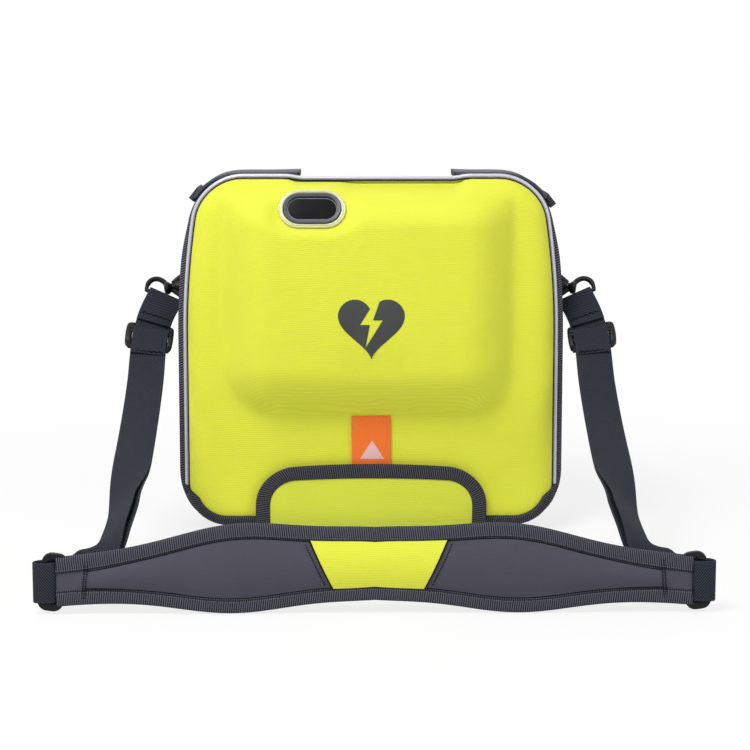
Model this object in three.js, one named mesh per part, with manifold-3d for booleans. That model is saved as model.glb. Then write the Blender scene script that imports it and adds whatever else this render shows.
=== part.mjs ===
// Defibrillator inside its moulded carry case, standing on its base, with a shoulder strap.
// Millimetres, +Z up, +X to the right, -Y towards the viewer. The origin is the middle of the base.
// The right-hand hardware is drawn once and mirrored for the left.
import * as THREE from "three";
import { mergeVertices } from "three/addons/utils/BufferGeometryUtils.js";
import Module from "manifold-3d";

const wasm = await Module();
wasm.setup();

// Clearances
const CLEAR = 0.3;
const SEAM = 1.8;

// Case outline, seen from the front
const BASE_T = 6.7;
const CASE_BOTTOM = BASE_T + CLEAR;
const CASE_HEIGHT = 265;
const CASE_TOP = CASE_BOTTOM + CASE_HEIGHT;
const CASE_HALF = 140;
const CORNER_R = 30;
const LEAN_R = 600;
const LEAN_FROM = 150;
const SHELL_IN = 10;
const FLANGE_IN = 3;
const RIM_OUT = 4.8;
const WALL = 4.5;

// Base plate, narrower than the case on each side
const BASE = { in: 40, deep: 88, r: 14, edge: 1 };

// Case depths, along Y
const CASE_BACK = 56;
const BACK_ROUND = 9;
const ZIP_Y = -24;
const FLANGE_DEPTH = 6;
const RIM_REAR = -33;
const RIM_FRONT = -43.5;
const FACE_Y = -46;
const EDGE_IN = 16;
const EDGE_RISE = 12;

// Raised dome of the front cover
const DOME_RISE = 24;
const DOME_HALF = 110;
const DOME_X = -2.5;
const DOME_LOW = 94;
const DOME_R = 40;
const DOME_BLEND = 38;
const DOME_TOP_IN = 6;
const DOME_TOP_RUN = 30;
const DOME_TOP_R = 24;
const DOME_MIN_R = 6;

// Status window
const WINDOW = { x: -44, out: 25.5, down: 22, tilt: 27.3, boss: 14, keep: 2, pocket: 20 };
const RING = { long: 50.6, high: 30.6, hole: 43.4, t: 2.2 };
const BEZEL = { long: 42.8, inner: 38, innerHigh: 18.5, deep: 5.4, lip: 1.4 };
const PANE_T = 1.5;

// Closure flap with its pull tab
const FLAP_HALF = 88;
const FLAP_TOP = 54.4;
const FLAP_R = 32;
const FLAP_T = 2.5;
const FLAP_LIFT = 2.5;
const FLAP_FOLD = 14;
const FLAP_BIND = 10.7;
const BIND_T = 1;
const TAB = { wide: 30, top: 92, under: 6, t: 1.7 };
const PATCH = { half: 55, low: 25, high: 44, t: 0.75 };

// Piping, lower binding and hinge strips
const PIPING_R = 1.7;
const PIPING_END = 34;
const BINDING_T = 1.2;
const STRIP = { inner: -56, innerRight: 65, t: 4.4, rear: 30, front: -23 };
// Bend of the strips: distances in from the side and down from the top
const STRIP_FOLD = [[42, 0], [28, 1.2], [19, 4.5], [12, 9.3], [6.5, 16], [4, 22.5]];

// Zip on the sides
const ZIP = { low: 40, high: 232, t: 1.6, wide: 4.6, tooth: 1.7, pitch: 8, tip: 1 };
const SLIDER = { z: 46, high: 15, deep: 13, t: 1.6, post: 1.2, postIn: 3.5, ear: 2.4, earT: 1.4 };
const PULL = { wide: 7, long: 24, t: 1.3, pin: 0.8, bore: 1.1, head: 0.9, lift: 1.6 };

// Side rings and the tabs that hold them
const RING_X = CASE_HALF - FLANGE_IN;
const RING_Y = 4;
const RING_Z = 200;
const RING_R = 12;
const RING_WIRE = 1.7;
const TAB_WIDE = 10;
const TAB_T = 1.4;
const TAB_LOW = 150;

// Snap hooks
const HANG = 43.3;
const HOOK = { across: 19.5, out: 21.3, offset: 5.2, arm: 1.9, barrel: 3.2, from: 5.6, mouth: 14 };
const BOLT = { r: 1.5, bore: 1.8, tip: 20.4, rear: 10, blind: 6.6, stud: 1, knob: 2.6, reach: 6 };
const KNUCKLE = { r: 4, low: -4, high: 2.2, post: 1.4, bore: 1.7, deep: -2.6 };

// Webbing strap
const WEB = 27;
const WEB_T = 1.6;
const LAYER = 1.3;
const EYE = { half: 16, wire: 1.6, low: 2 };
// Arch of the eye, higher on the outer side: across and up from the webbing's end
const EYE_ARCH = [
  [16.3, 5.5], [15.2, 10], [11.8, 13.2], [7, 13.6], [3, 12], [0, 10.5], [-5, 9.6], [-10.5, 8.2], [-14.8, 5.8],
];
const STRAP_TOP = { out: 3, front: 7.2, below: 7.2 };
// Points of its route: how far across from the hook to the lower slider (0 to 1), then y and z
const ROUTE = [
  [0.101, -28, 165.5],
  [0.164, -42, 150],
  [0.177, -76, 119.5],
  [0.194, -134, 86.6],
  [0.206, -206, 60.5],
  [0.219, -246, 52],
  [0.295, -270, 43],
  [0.447, -278.5, 33],
  [0.615, -285, 24],
  [0.798, -287, 21.5],
];
const ROUTE_TILT = 19;
const UNTILT = 60;
const TWIST = { from: 62, over: 54 };
const SEWN = 25;
const KEEPER_AT = 34;
const KEEPER = { wide: 35, high: 20, cheek: 3.2, bar: 4.5, t: 2, gap: 5.8 };

// Lower sliders and shoulder pad
const PAD = { half: 208.4, y: -293, z: 33.2, t: 11, edge: 3.2, margin: 9, loop: 1.1, taper: 26 };
const PAD_HIGH = { end: 15.2, lobe: 13.2, waist: 7, lobeAt: 0.42, lobeWide: 0.26, waistWide: 0.24 };
const LOWER = { past: 3.1, z: 21.5, wide: 18, high: 39, bar: 3.4, t: 3, r: 5 };
const LOWER_X = PAD.half + LOWER.past;
const PAD_BIND = { deep: 7.5, t: 1, gap: 0.3 };
const PANEL = { top: 44, foot: 30.5, high: 53.5, low: 15.5, t: 0.8 };

// Defibrillator unit
const UNIT_IN = 11;
const UNIT_SIDE = 11;
const UNIT_GAP = 7.6;
const UNIT_WALL = 3;
const UNIT_DOME_IN = 6;
const UNIT_DOME_DROP = 8;
const UNIT_SPLIT = -10;
const UNIT_BACK = CASE_BACK - WALL - 0.5;
const GASKET_T = 1;
const RECESS = { x0: -50, x1: 57, y0: 2, y1: 42, down: 44, wall: 2.5 };
const GRIP_R = 9;
const HANDLE_GAP = { y0: -14, y1: 44 };
const DISPLAY = { x: -10, z: 200, wide: 84, high: 46, t: 1.4 };
const BUTTONS = [
  { name: "power_button", x: -54, z: 156, r: 8 },
  { name: "shock_button", x: -2, z: 156, r: 14 },
  { name: "child_button", x: 50, z: 156, r: 8 },
];
const BUTTON = { stroke: 1.5, proud: 1.7, flange: 2.5, flangeT: 1.4, run: 0.4 };
const LENS = { long: 24, high: 9, from: -14, to: -6 };
const SPEAKER = { x: 50, z: 206, r: 12, t: 7, hole: 1.4, ring: 6.5 };
const BATTERY = { x: 52, wide: 84, high: 58, deep: 30, up: 5 };
const BOARD = { half: 88, low: 96, high: 214, y: 6, t: 1.6, boss: 4, in: 10 };
const CAPACITOR = { x: -30, z: 128, r: 17, long: 64 };
const POUCH = { x: -20, wide: 140, low: 30, high: 84, t: 16 };

const material = (color, roughness, metalness = 0) =>
  new THREE.MeshStandardMaterial({ color, roughness, metalness });
const paint = {
  hivis: material(0xd8e344, 0.75),
  binding: material(0x3b3c48, 0.9),
  shell: material(0x42434d, 0.85),
  silver: material(0xb9b9c8, 0.45),
  webbing: material(0x343a46, 0.9),
  black: material(0x17181c, 0.45),
  orange: material(0xf97a38, 0.8),
  rubber: material(0x222326, 0.9),
  milky: material(0xcfd2a8, 0.3),
  grey: material(0x55585c, 0.5),
  smoke: material(0x101114, 0.1),
  pad: material(0x4d4b57, 0.85),
  housing: material(0x5a6066, 0.55),
  glass: material(0x0b0d10, 0.08),
  green: material(0x2f9a4c, 0.5),
  blue: material(0x3a78b8, 0.5),
  board: material(0x1e5a36, 0.6),
  foil: material(0xd5d8dc, 0.4, 0.3),
};

const defibrillator = new THREE.Group();
const V = (x, y, z) => new THREE.Vector3(x, y, z);
const turn = (degrees) => THREE.MathUtils.degToRad(degrees);
const clamp = THREE.MathUtils.clamp;

function add(name, geometry, finish, parent = defibrillator) {
  const mesh = new THREE.Mesh(geometry, finish);
  mesh.name = name;
  parent.add(mesh);
  return mesh;
}

// Solids: joined and cut as closed bodies
function solid(geometry) {
  const bare = geometry.clone();
  bare.deleteAttribute("normal");
  bare.deleteAttribute("uv");
  const merged = mergeVertices(bare, 1e-4);
  return new wasm.Manifold(
    new wasm.Mesh({
      numProp: 3,
      vertProperties: new Float32Array(merged.attributes.position.array),
      triVerts: new Uint32Array(merged.index.array),
    }),
  );
}

function geometryOf(body) {
  const mesh = body.getMesh();
  return new THREE.BufferGeometry()
    .setAttribute("position", new THREE.BufferAttribute(new Float32Array(mesh.vertProperties), 3))
    .setIndex(new THREE.BufferAttribute(new Uint32Array(mesh.triVerts), 1));
}

const cut = (body, ...tools) =>
  geometryOf(tools.reduce((left, tool) => left.subtract(solid(tool)), solid(body)));
const join = (body, ...more) =>
  geometryOf(more.reduce((whole, piece) => whole.add(solid(piece)), solid(body)));
const common = (a, b) => geometryOf(solid(a).intersect(solid(b)));

// Mirrors a geometry across the middle of the case
function mirrored(geometry) {
  const other = geometry.clone();
  if (!other.index) other.setIndex([...Array(other.attributes.position.count).keys()]);
  other.deleteAttribute("normal");
  other.deleteAttribute("uv");
  other.scale(-1, 1, 1);
  const index = other.index.array;
  for (let i = 0; i < index.length; i += 3) [index[i + 1], index[i + 2]] = [index[i + 2], index[i + 1]];
  return other;
}

function addPair(name, geometry, finish) {
  add(name + "_right", geometry, finish);
  add(name + "_left", mirrored(geometry), finish);
}

// Triangles that close a flat ring of points
function lid(ring, first) {
  const normal = V(0, 0, 0);
  ring.forEach((p, i) => normal.add(V().crossVectors(p, ring[(i + 1) % ring.length])));
  const across = ring[1].clone().sub(ring[0]).projectOnPlane(normal.normalize()).normalize();
  const up = V().crossVectors(normal, across);
  const flat = ring.map((p) => [p.dot(across), p.dot(up)]);
  return wasm.triangulate([flat]).map((face) => face.map((i) => first + i));
}

// Skin over rings of equal count, closed by lids at both ends, or joined end to end
function loft(rings, closed = false) {
  const n = rings[0].length;
  const points = rings.flat();
  const faces = [];
  const spans = closed ? rings.length : rings.length - 1;
  for (let i = 0; i < spans; i++) {
    const next = ((i + 1) % rings.length) * n;
    for (let k = 0; k < n; k++) {
      const [a, b] = [i * n + k, i * n + ((k + 1) % n)];
      const [c, d] = [next + k, next + ((k + 1) % n)];
      faces.push([a, b, c], [b, d, c]);
    }
  }
  if (!closed) {
    lid(rings[0], 0).forEach(([a, b, c]) => faces.push([a, c, b]));
    lid(rings.at(-1), n * (rings.length - 1)).forEach((face) => faces.push(face));
  }
  const volume = faces.reduce((sum, [a, b, c]) => {
    return sum + points[a].dot(V().crossVectors(points[b], points[c]));
  }, 0);
  const index = faces.flatMap(([a, b, c]) => (volume < 0 ? [a, c, b] : [a, b, c]));
  return new THREE.BufferGeometry().setFromPoints(points).setIndex(index);
}

// Sweeps a section, given as [across, up] pairs, along points with a width direction at each
function sweep(points, section, across, closed = false) {
  const last = points.length - 1;
  const rings = points.map((p, i) => {
    const before = points[i ? i - 1 : closed ? last : 0];
    const after = points[i < last ? i + 1 : closed ? 0 : last];
    const along = after.clone().sub(before).normalize();
    const wide = across(i).clone().projectOnPlane(along).normalize();
    const up = V().crossVectors(along, wide);
    return section.map(([a, b]) => p.clone().addScaledVector(wide, a).addScaledVector(up, b));
  });
  return loft(rings, closed);
}

const band = (wide, t) => [[-wide / 2, -t / 2], [wide / 2, -t / 2], [wide / 2, t / 2], [-wide / 2, t / 2]];
const roundSection = (r, sides) =>
  Array.from({ length: sides }, (_, i) => {
    const a = (2 * Math.PI * i) / sides;
    return [r * Math.cos(a), r * Math.sin(a)];
  });

function extrude(shape, depth, bevel = 0, steps = 3) {
  const settings = { depth: depth - 2 * bevel, curveSegments: steps, bevelEnabled: bevel > 0 };
  Object.assign(settings, { bevelThickness: bevel, bevelSize: bevel, bevelOffset: -bevel, bevelSegments: 1 });
  return new THREE.ExtrudeGeometry(shape, settings).translate(0, 0, bevel);
}

const box = (x0, x1, y0, y1, z0, z1) =>
  new THREE.BoxGeometry(x1 - x0, y1 - y0, z1 - z0).translate((x0 + x1) / 2, (y0 + y1) / 2, (z0 + z1) / 2);

// Turns a shape drawn in X and Z so that it grows from y towards the viewer
const facing = (geometry, y) => geometry.rotateX(Math.PI / 2).translate(0, y, 0);

function roundedRect(wide, high, r, x = 0, y = 0) {
  const [w, h] = [wide / 2, high / 2];
  const shape = new THREE.Shape();
  shape.moveTo(x + w - r, y - h);
  shape.absarc(x + w - r, y - h + r, r, -Math.PI / 2, 0);
  shape.absarc(x + w - r, y + h - r, r, 0, Math.PI / 2);
  shape.absarc(x - w + r, y + h - r, r, Math.PI / 2, Math.PI);
  shape.absarc(x - w + r, y - h + r, r, Math.PI, 1.5 * Math.PI);
  return shape;
}

const stadium = (long, high) => roundedRect(long, high, high / 2 - 0.01);

// Case outline at an inset; the sides alone can be moved in further
const CORNER_STEPS = 6;
const SIDE_STEPS = 6;
const MIN_R = 3;

function lean(z) {
  const over = Math.max(z - LEAN_FROM, 0);
  return LEAN_R - Math.sqrt(LEAN_R * LEAN_R - over * over);
}

function outline(inset, y, side = 0) {
  const half = (z) => CASE_HALF - side - inset - lean(z);
  const r = Math.max(CORNER_R - inset, MIN_R);
  const low = CASE_BOTTOM + inset + r;
  const high = CASE_TOP - inset - r;
  const corner = (z, from) =>
    Array.from({ length: CORNER_STEPS + 1 }, (_, i) => {
      const a = from + (i / CORNER_STEPS) * (Math.PI / 2);
      return V(half(z) - r + r * Math.cos(a), y, z + r * Math.sin(a));
    });
  const flank = Array.from({ length: SIDE_STEPS - 1 }, (_, i) => {
    const z = low + ((i + 1) / SIDE_STEPS) * (high - low);
    return V(half(z), y, z);
  });
  const right = [...corner(low, -Math.PI / 2), ...flank, ...corner(high, 0)];
  return [...right, ...right.map((p) => V(-p.x, p.y, p.z)).reverse()];
}

const smooth = (t) => t * t * (3 - 2 * t);

// Body with side walls, rounded front edge and flat front face
const EDGE_ANGLES = [22.5, 45, 67.5, 90].map(turn);

function frontBody(walls, inset, back, edgeIn, edgeRise, side = 0) {
  const edge = EDGE_ANGLES.map((a) => {
    return outline(inset + edgeIn * (1 - Math.cos(a)), FACE_Y + back - edgeRise * Math.sin(a), side);
  });
  return loft([...walls, outline(inset, FACE_Y + back, side), ...edge]);
}

// Dome that stands on the front face; inset, drop and back make it smaller on all sides
const DOME_LEVELS = [0, 0.25, 0.5, 0.7, 0.85, 0.96, 1];

function dome(inset, drop, back) {
  const ring = (level, rise) => {
    const blend = DOME_BLEND * (1 - Math.sqrt(1 - level)) + inset;
    const [x0, x1] = [DOME_X - DOME_HALF + blend, DOME_X + DOME_HALF - blend];
    const z0 = DOME_LOW + blend;
    const z1 = CASE_TOP - DOME_TOP_IN - DOME_TOP_RUN * (1 - Math.sqrt(1 - level)) - drop;
    const [low, high] = [Math.max(DOME_R - blend, DOME_MIN_R), Math.max(DOME_TOP_R - blend, DOME_MIN_R)];
    const corner = (x, z, r, from) =>
      Array.from({ length: 5 }, (_, i) => {
        const a = turn(from + i * 22.5);
        return V(x + r * Math.cos(a), 0, z + r * Math.sin(a));
      });
    const points = [
      ...corner(x1 - low, z0 + low, low, -90),
      ...corner(x1 - high, z1 - high, high, 0),
      ...corner(x0 + high, z1 - high, high, 90),
      ...corner(x0 + low, z0 + low, low, 180),
    ];
    return points.map((p) => {
      const edge = clamp((CASE_TOP - p.z) / EDGE_IN, 0, 1);
      const face = FACE_Y - EDGE_RISE * Math.sqrt(1 - (1 - edge) ** 2);
      return p.setY(rise < 0 ? FACE_Y + back : face + back - DOME_RISE * rise);
    });
  };
  return loft([ring(0, -1), ...DOME_LEVELS.map((level) => ring(level, level))]);
}

// Rear shell of the case, with the gap for the handle in its top
const handleGap = box(
  STRIP.inner, STRIP.innerRight, HANDLE_GAP.y0, HANDLE_GAP.y1, CASE_TOP - WALL - 2, CASE_TOP + 2,
);

function rearShell() {
  const flangeRear = ZIP_Y + SEAM / 2 + FLANGE_DEPTH;
  const rounding = [0, 30, 60, 90].map((a) => {
    const inset = BACK_ROUND * (1 - Math.sin(turn(a)));
    return outline(inset, CASE_BACK - BACK_ROUND + BACK_ROUND * Math.cos(turn(a)), SHELL_IN);
  });
  const tray = loft([
    ...rounding,
    outline(0, flangeRear + SHELL_IN - FLANGE_IN, SHELL_IN),
    outline(0, flangeRear, FLANGE_IN),
    outline(0, ZIP_Y + SEAM / 2, FLANGE_IN),
    outline(WALL, ZIP_Y + SEAM / 2, SHELL_IN),
    outline(WALL, CASE_BACK - BACK_ROUND, SHELL_IN),
    outline(BACK_ROUND, CASE_BACK - WALL, SHELL_IN),
  ]);
  return cut(tray, handleGap);
}
add("rear_shell", rearShell(), paint.shell);

// Base plate that the case stands on
const basePlate = extrude(roundedRect(2 * (CASE_HALF - BASE.in), BASE.deep, BASE.r), BASE_T, BASE.edge);
add("base_plate", basePlate, paint.rubber);

// Front cover: side walls, rim, rounded edge and dome, with the seat of the status window
const windowFrame = new THREE.Matrix4()
  .makeTranslation(WINDOW.x, FACE_Y - WINDOW.out, CASE_TOP - WINDOW.down)
  .multiply(new THREE.Matrix4().makeRotationX(turn(90 - WINDOW.tilt)));
const inWindow = (geometry, from) => geometry.translate(0, 0, from).applyMatrix4(windowFrame);

function frontCover() {
  const rear = ZIP_Y - SEAM / 2;
  const walls = [
    outline(0, rear, FLANGE_IN),
    outline(0, RIM_REAR + 1, FLANGE_IN),
    outline(0, RIM_REAR, -RIM_OUT),
    outline(0, RIM_FRONT, -RIM_OUT),
    outline(0, RIM_FRONT - 0.5, 0),
  ];
  const outside = join(frontBody(walls, 0, 0, EDGE_IN, EDGE_RISE), dome(0, 0, 0));
  const hollowWalls = [outline(WALL, rear + 1, FLANGE_IN)];
  const bowl = frontBody(hollowWalls, WALL, 0, EDGE_IN - WALL, EDGE_RISE - WALL, FLANGE_IN);
  const inside = join(bowl, dome(WALL / 2, WALL / 2, WALL));
  const plug = (grow, from, deep) =>
    inWindow(extrude(stadium(RING.long + grow, RING.high + grow), deep, 0, 5), from);
  const boss = cut(plug(7, -WINDOW.boss, WINDOW.boss), inside.clone().translate(0, WINDOW.keep, 0));
  const hole = inWindow(extrude(stadium(RING.hole, RING.high - 5.8), 30, 0, 5), -15);
  return cut(join(cut(outside, inside), boss), plug(1, 0, WINDOW.pocket), hole);
}
add("front_cover", frontCover(), paint.hivis);

// Status window: milky seat ring, grey bezel through the hole, dark pane in the bezel
function stadiumRing(long, high, holeLong, holeHigh, depth) {
  const shape = stadium(long, high);
  shape.holes.push(stadium(holeLong, holeHigh));
  return extrude(shape, depth, 0, 5);
}
const holeHigh = RING.high - 5.8;
const seatRing = stadiumRing(RING.long, RING.high, RING.hole, holeHigh, RING.t);
add("window_ring", inWindow(seatRing, CLEAR), paint.milky);
const bezelHigh = holeHigh - 0.6;
const bezel = stadiumRing(BEZEL.long, bezelHigh, BEZEL.inner, BEZEL.innerHigh, BEZEL.deep + BEZEL.lip);
add("window_bezel", inWindow(bezel, -BEZEL.deep + RING.t), paint.grey);
const pane = extrude(stadium(BEZEL.inner - 2 * CLEAR, BEZEL.innerHigh - 2 * CLEAR), PANE_T);
add("window_pane", inWindow(pane, -1), paint.smoke);

// Piping round the sides and the top, lower binding round the rest
function piping() {
  const all = outline(-PIPING_R, FACE_Y).map((p) => V(p.x, p.y, p.z));
  const order = all.findIndex((p) => p.z > PIPING_END);
  const ring = [...all.slice(order), ...all.slice(0, order)];
  const path = ring.slice(0, ring.findIndex((p) => p.z < PIPING_END));
  return sweep(path, roundSection(PIPING_R - CLEAR / 2, 8), () => V(0, 1, 0));
}
add("cover_piping", piping(), paint.silver);

function lowerBinding() {
  const edge = [[0, RIM_FRONT - 1.2], ...[0, 22.5, 45].map((a) => {
    return [EDGE_IN * (1 - Math.cos(turn(a))), FACE_Y - EDGE_RISE * Math.sin(turn(a))];
  })];
  const near = edge.map(([inset, y]) => outline(inset - CLEAR, y - CLEAR));
  const far = edge.map(([inset, y]) => outline(inset - CLEAR - BINDING_T, y - CLEAR - BINDING_T));
  const lines = [...near, ...far.reverse()];
  const used = lines[0].map((p, i) => i).filter((i) => lines[0][i].z < PIPING_END - 2);
  const start = used.findIndex((i, k) => k && i - used[k - 1] > 1);
  const order = [...used.slice(start), ...used.slice(0, start)];
  return loft(order.map((i) => lines.map((line) => line[i])));
}
add("cover_binding", lowerBinding(), paint.binding);

// Closure flap: a sewn lower part that wraps the edge, and a free part above the fold line
const flapFront = FACE_Y - EDGE_RISE - FLAP_LIFT;

function wrap(lift, t, half, top) {
  const at = (a, off) => {
    const n = V(0, -Math.sin(a) / EDGE_RISE, -Math.cos(a) / EDGE_IN).normalize();
    const z = CASE_BOTTOM + EDGE_IN * (1 - Math.cos(a));
    return V(0, FACE_Y - EDGE_RISE * Math.sin(a), z).addScaledVector(n, off);
  };
  const angles = [22.5, 45, 67.5, 90].map(turn);
  const line = (off) => [...angles.map((a) => at(a, off)), V(0, FACE_Y - EDGE_RISE - off, top + EDGE_IN)];
  const profile = [...line(lift), ...line(lift + t).reverse()];
  const whole = loft([-half, half].map((x) => profile.map((p) => V(x, p.y, p.z))));
  return common(whole, box(-half - t, half + t, FACE_Y - 2 * EDGE_RISE, FACE_Y, 0, top));
}
add("flap_base", wrap(FLAP_LIFT, FLAP_T, FLAP_HALF, FLAP_FOLD - CLEAR), paint.hivis);

function flapShape(inset, low) {
  const [w, h, r] = [FLAP_HALF - inset, FLAP_TOP - inset, FLAP_R - inset];
  const shape = new THREE.Shape();
  shape.moveTo(-w, low);
  shape.lineTo(w, low);
  shape.lineTo(w, h - r);
  shape.absarc(w - r, h - r, r, 0, Math.PI / 2);
  shape.absarc(-w + r, h - r, r, Math.PI / 2, Math.PI);
  return shape;
}
const flapLow = FLAP_FOLD + CLEAR;
add("closure_flap", facing(extrude(flapShape(0, flapLow), FLAP_T), flapFront), paint.hivis);

function flapBinding() {
  const whole = facing(extrude(flapShape(0, flapLow), BIND_T), flapFront - FLAP_T - CLEAR);
  const middle = facing(extrude(flapShape(FLAP_BIND, 0), 4 * BIND_T), flapFront - FLAP_T + BIND_T);
  return cut(whole, middle);
}
add("flap_binding", flapBinding(), paint.binding);

const tabFoot = FLAP_TOP - TAB.under;
const tabShape = roundedRect(TAB.wide, TAB.top - tabFoot, 1, 0, (TAB.top + tabFoot) / 2);
add("pull_tab", facing(extrude(tabShape, TAB.t), flapFront + CLEAR + TAB.t), paint.orange);

const patchShape = roundedRect(2 * PATCH.half, PATCH.high - PATCH.low, 4, 0, (PATCH.high + PATCH.low) / 2);
add("loop_patch", facing(extrude(patchShape, PATCH.t), FACE_Y - EDGE_RISE - CLEAR), paint.binding);
add("hook_patch", facing(extrude(patchShape, PATCH.t), flapFront + CLEAR + PATCH.t), paint.binding);

// Hinge strips on the top, beside the gap for the handle, bent down over the corners
function hingeStrip(inner) {
  const z = CASE_TOP + CLEAR + STRIP.t / 2;
  const line = [V(inner, 0, z), ...STRIP_FOLD.map(([inward, fall]) => V(CASE_HALF - inward, 0, z - fall))];
  const middle = (STRIP.rear + STRIP.front) / 2;
  line.forEach((p) => p.setY(middle));
  return sweep(line, band(STRIP.rear - STRIP.front, STRIP.t), () => V(0, 1, 0));
}
add("hinge_strip_right", hingeStrip(STRIP.innerRight), paint.shell);
add("hinge_strip_left", mirrored(hingeStrip(-STRIP.inner)), paint.shell);

// Zip rows: toothed bands on the flange of the shell and on the rear lip of the cover
const zipX = CASE_HALF - FLANGE_IN + CLEAR;

function zipRow(towards) {
  const seat = ZIP_Y + towards * (ZIP.tip + ZIP.tooth);
  const back = seat + towards * ZIP.wide;
  const tip = ZIP_Y + towards * ZIP.tip;
  const rings = [];
  const count = Math.floor((ZIP.high - ZIP.low) / ZIP.pitch);
  const ring = (z, front) => {
    const x = zipX - lean(z);
    rings.push([V(x, front, z), V(x + ZIP.t, front, z), V(x + ZIP.t, back, z), V(x, back, z)]);
  };
  const shift = towards > 0 ? 0 : ZIP.pitch / 2;
  for (let i = 0; i < count; i++) {
    const z = ZIP.low + shift + i * ZIP.pitch;
    ring(z, seat);
    ring(z + ZIP.pitch * 0.4, tip);
  }
  return loft(rings);
}
addPair("zip_row_rear", zipRow(1), paint.binding);
addPair("zip_row_front", zipRow(-1), paint.binding);

// Zip slider: outer plate, thin post between the rows, two ears for the pull
const sliderX = zipX + ZIP.t + CLEAR;
const pinZ = SLIDER.z + 1;
const pinX = sliderX + SLIDER.t + PULL.lift;
const pinHole = (r, y0, y1) =>
  new THREE.CylinderGeometry(r, r, y1 - y0, 10).translate(pinX, (y0 + y1) / 2, pinZ);

function zipSlider() {
  const [z0, z1] = [SLIDER.z - SLIDER.high / 2, SLIDER.z + SLIDER.high / 2];
  const [y0, y1] = [ZIP_Y - SLIDER.deep / 2, ZIP_Y + SLIDER.deep / 2];
  const plate = extrude(roundedRect(SLIDER.high, SLIDER.deep, 3), SLIDER.t, 0.4)
    .rotateY(Math.PI / 2)
    .translate(sliderX, ZIP_Y, SLIDER.z);
  const half = SLIDER.post / 2;
  const post = box(sliderX - SLIDER.postIn, sliderX + 0.5, ZIP_Y - half, ZIP_Y + half, z0 + 3, z1 - 3);
  const earX = pinX + 1.3;
  const inner = PULL.wide / 2 + CLEAR;
  const [low, high] = [pinZ - SLIDER.ear, pinZ + SLIDER.ear];
  const ear = (a, b) => box(sliderX + SLIDER.t - 0.5, earX, ZIP_Y + a, ZIP_Y + b, low, high);
  const ears = [ear(-inner - SLIDER.earT, -inner), ear(inner, inner + SLIDER.earT)];
  return cut(join(plate, post, ...ears), pinHole(PULL.bore, y0 - 1, y1 + 1));
}
addPair("zip_slider", zipSlider(), paint.black);

function zipPull() {
  const reach = PULL.wide / 2 + SLIDER.earT;
  const plate = roundedRect(PULL.long, PULL.wide, 2, PULL.long / 2 - PULL.head, 0);
  plate.holes.push(roundedRect(8, 3, 1, PULL.long - 8, 0));
  const tongue = extrude(plate, PULL.t)
    .rotateY(Math.PI / 2)
    .translate(pinX - PULL.t / 2, ZIP_Y, pinZ);
  return join(tongue, pinHole(PULL.pin, ZIP_Y - reach, ZIP_Y + reach));
}
addPair("zip_pull", zipPull(), paint.black);

// Side ring and the sewn tab that holds it
const ringPoint = (radius, angle) =>
  V(RING_X, RING_Y + radius * Math.cos(turn(angle)), RING_Z + radius * Math.sin(turn(angle)));

function sideRing() {
  const path = Array.from({ length: 28 }, (_, i) => ringPoint(RING_R, (i * 360) / 28));
  return sweep(path, roundSection(RING_WIRE, 8), () => V(1, 0, 0), true);
}
addPair("side_ring", sideRing(), paint.black);

function sideTab() {
  const wall = CASE_HALF - SHELL_IN;
  const foot = RING_Z - RING_R;
  const inner = wall + CLEAR + TAB_T / 2;
  const outer = inner + TAB_T + CLEAR;
  const r = RING_WIRE + 2 * CLEAR + TAB_T / 2 + TAB_WIDE ** 2 / (8 * RING_R);
  const turns = Array.from({ length: 9 }, (_, i) => {
    const a = turn(190 - i * 31);
    return V(RING_X + r * Math.cos(a), RING_Y, foot + r * Math.sin(a));
  });
  const start = [V(inner, RING_Y, TAB_LOW), V(inner, RING_Y, foot - 10), V(inner + 1, RING_Y, foot - 5)];
  const line = [...start, ...turns];
  line.push(V(outer + 1.4, RING_Y, foot - 9), V(outer, RING_Y, foot - 15), V(outer, RING_Y, TAB_LOW));
  return sweep(line, band(TAB_WIDE, TAB_T), () => V(0, 1, 0));
}
addPair("side_tab", sideTab(), paint.webbing);

// Snap hook, in its own frame: u from the knuckle towards the crook, v towards the arm
const hangOut = V(0, -Math.cos(turn(HANG)), -Math.sin(turn(HANG)));
const ringCentre = V(RING_X, RING_Y, RING_Z);
const knuckle = ringCentre.clone().add(V(HOOK.across, 0, 0)).addScaledVector(hangOut, HOOK.out);
const wire = ringCentre.clone().addScaledVector(hangOut, RING_R);
const reachLine = wire.clone().sub(knuckle);
const crookU = Math.sqrt(reachLine.lengthSq() - HOOK.offset ** 2);
const side = V().crossVectors(V(1, 0, 0), hangOut).normalize();
const hookU = reachLine.clone().normalize().applyAxisAngle(side, -Math.atan2(HOOK.offset, crookU));
const hookV = reachLine.clone().addScaledVector(hookU, -reachLine.dot(hookU)).normalize();
const hookW = V().crossVectors(hookU, hookV);
const hookFrame = new THREE.Matrix4().makeBasis(hookU, hookV, hookW).setPosition(knuckle);
const inHook = (geometry) => geometry.applyMatrix4(hookFrame);
const along = (r, from, to, sides = 14) =>
  new THREE.CylinderGeometry(r, r, to - from, sides).rotateZ(-Math.PI / 2).translate((from + to) / 2, 0, 0);

function hookArm() {
  const r = HOOK.offset;
  const path = [V(HOOK.mouth - 6, 2.6, 0), V(HOOK.mouth - 3, 5, 0), V(HOOK.mouth + 0.5, 8.6, 0)];
  path.push(V(crookU - 3.4, 2 * r, 0));
  for (let i = 0; i <= 8; i++) {
    const a = Math.PI / 2 - (i / 8) * Math.PI;
    path.push(V(crookU + r * Math.cos(a), r + r * Math.sin(a), 0));
  }
  path.push(V(BOLT.tip + CLEAR + 0.1, 0, 0));
  return sweep(path, roundSection(HOOK.arm, 8), () => V(0, 0, 1));
}

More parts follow.
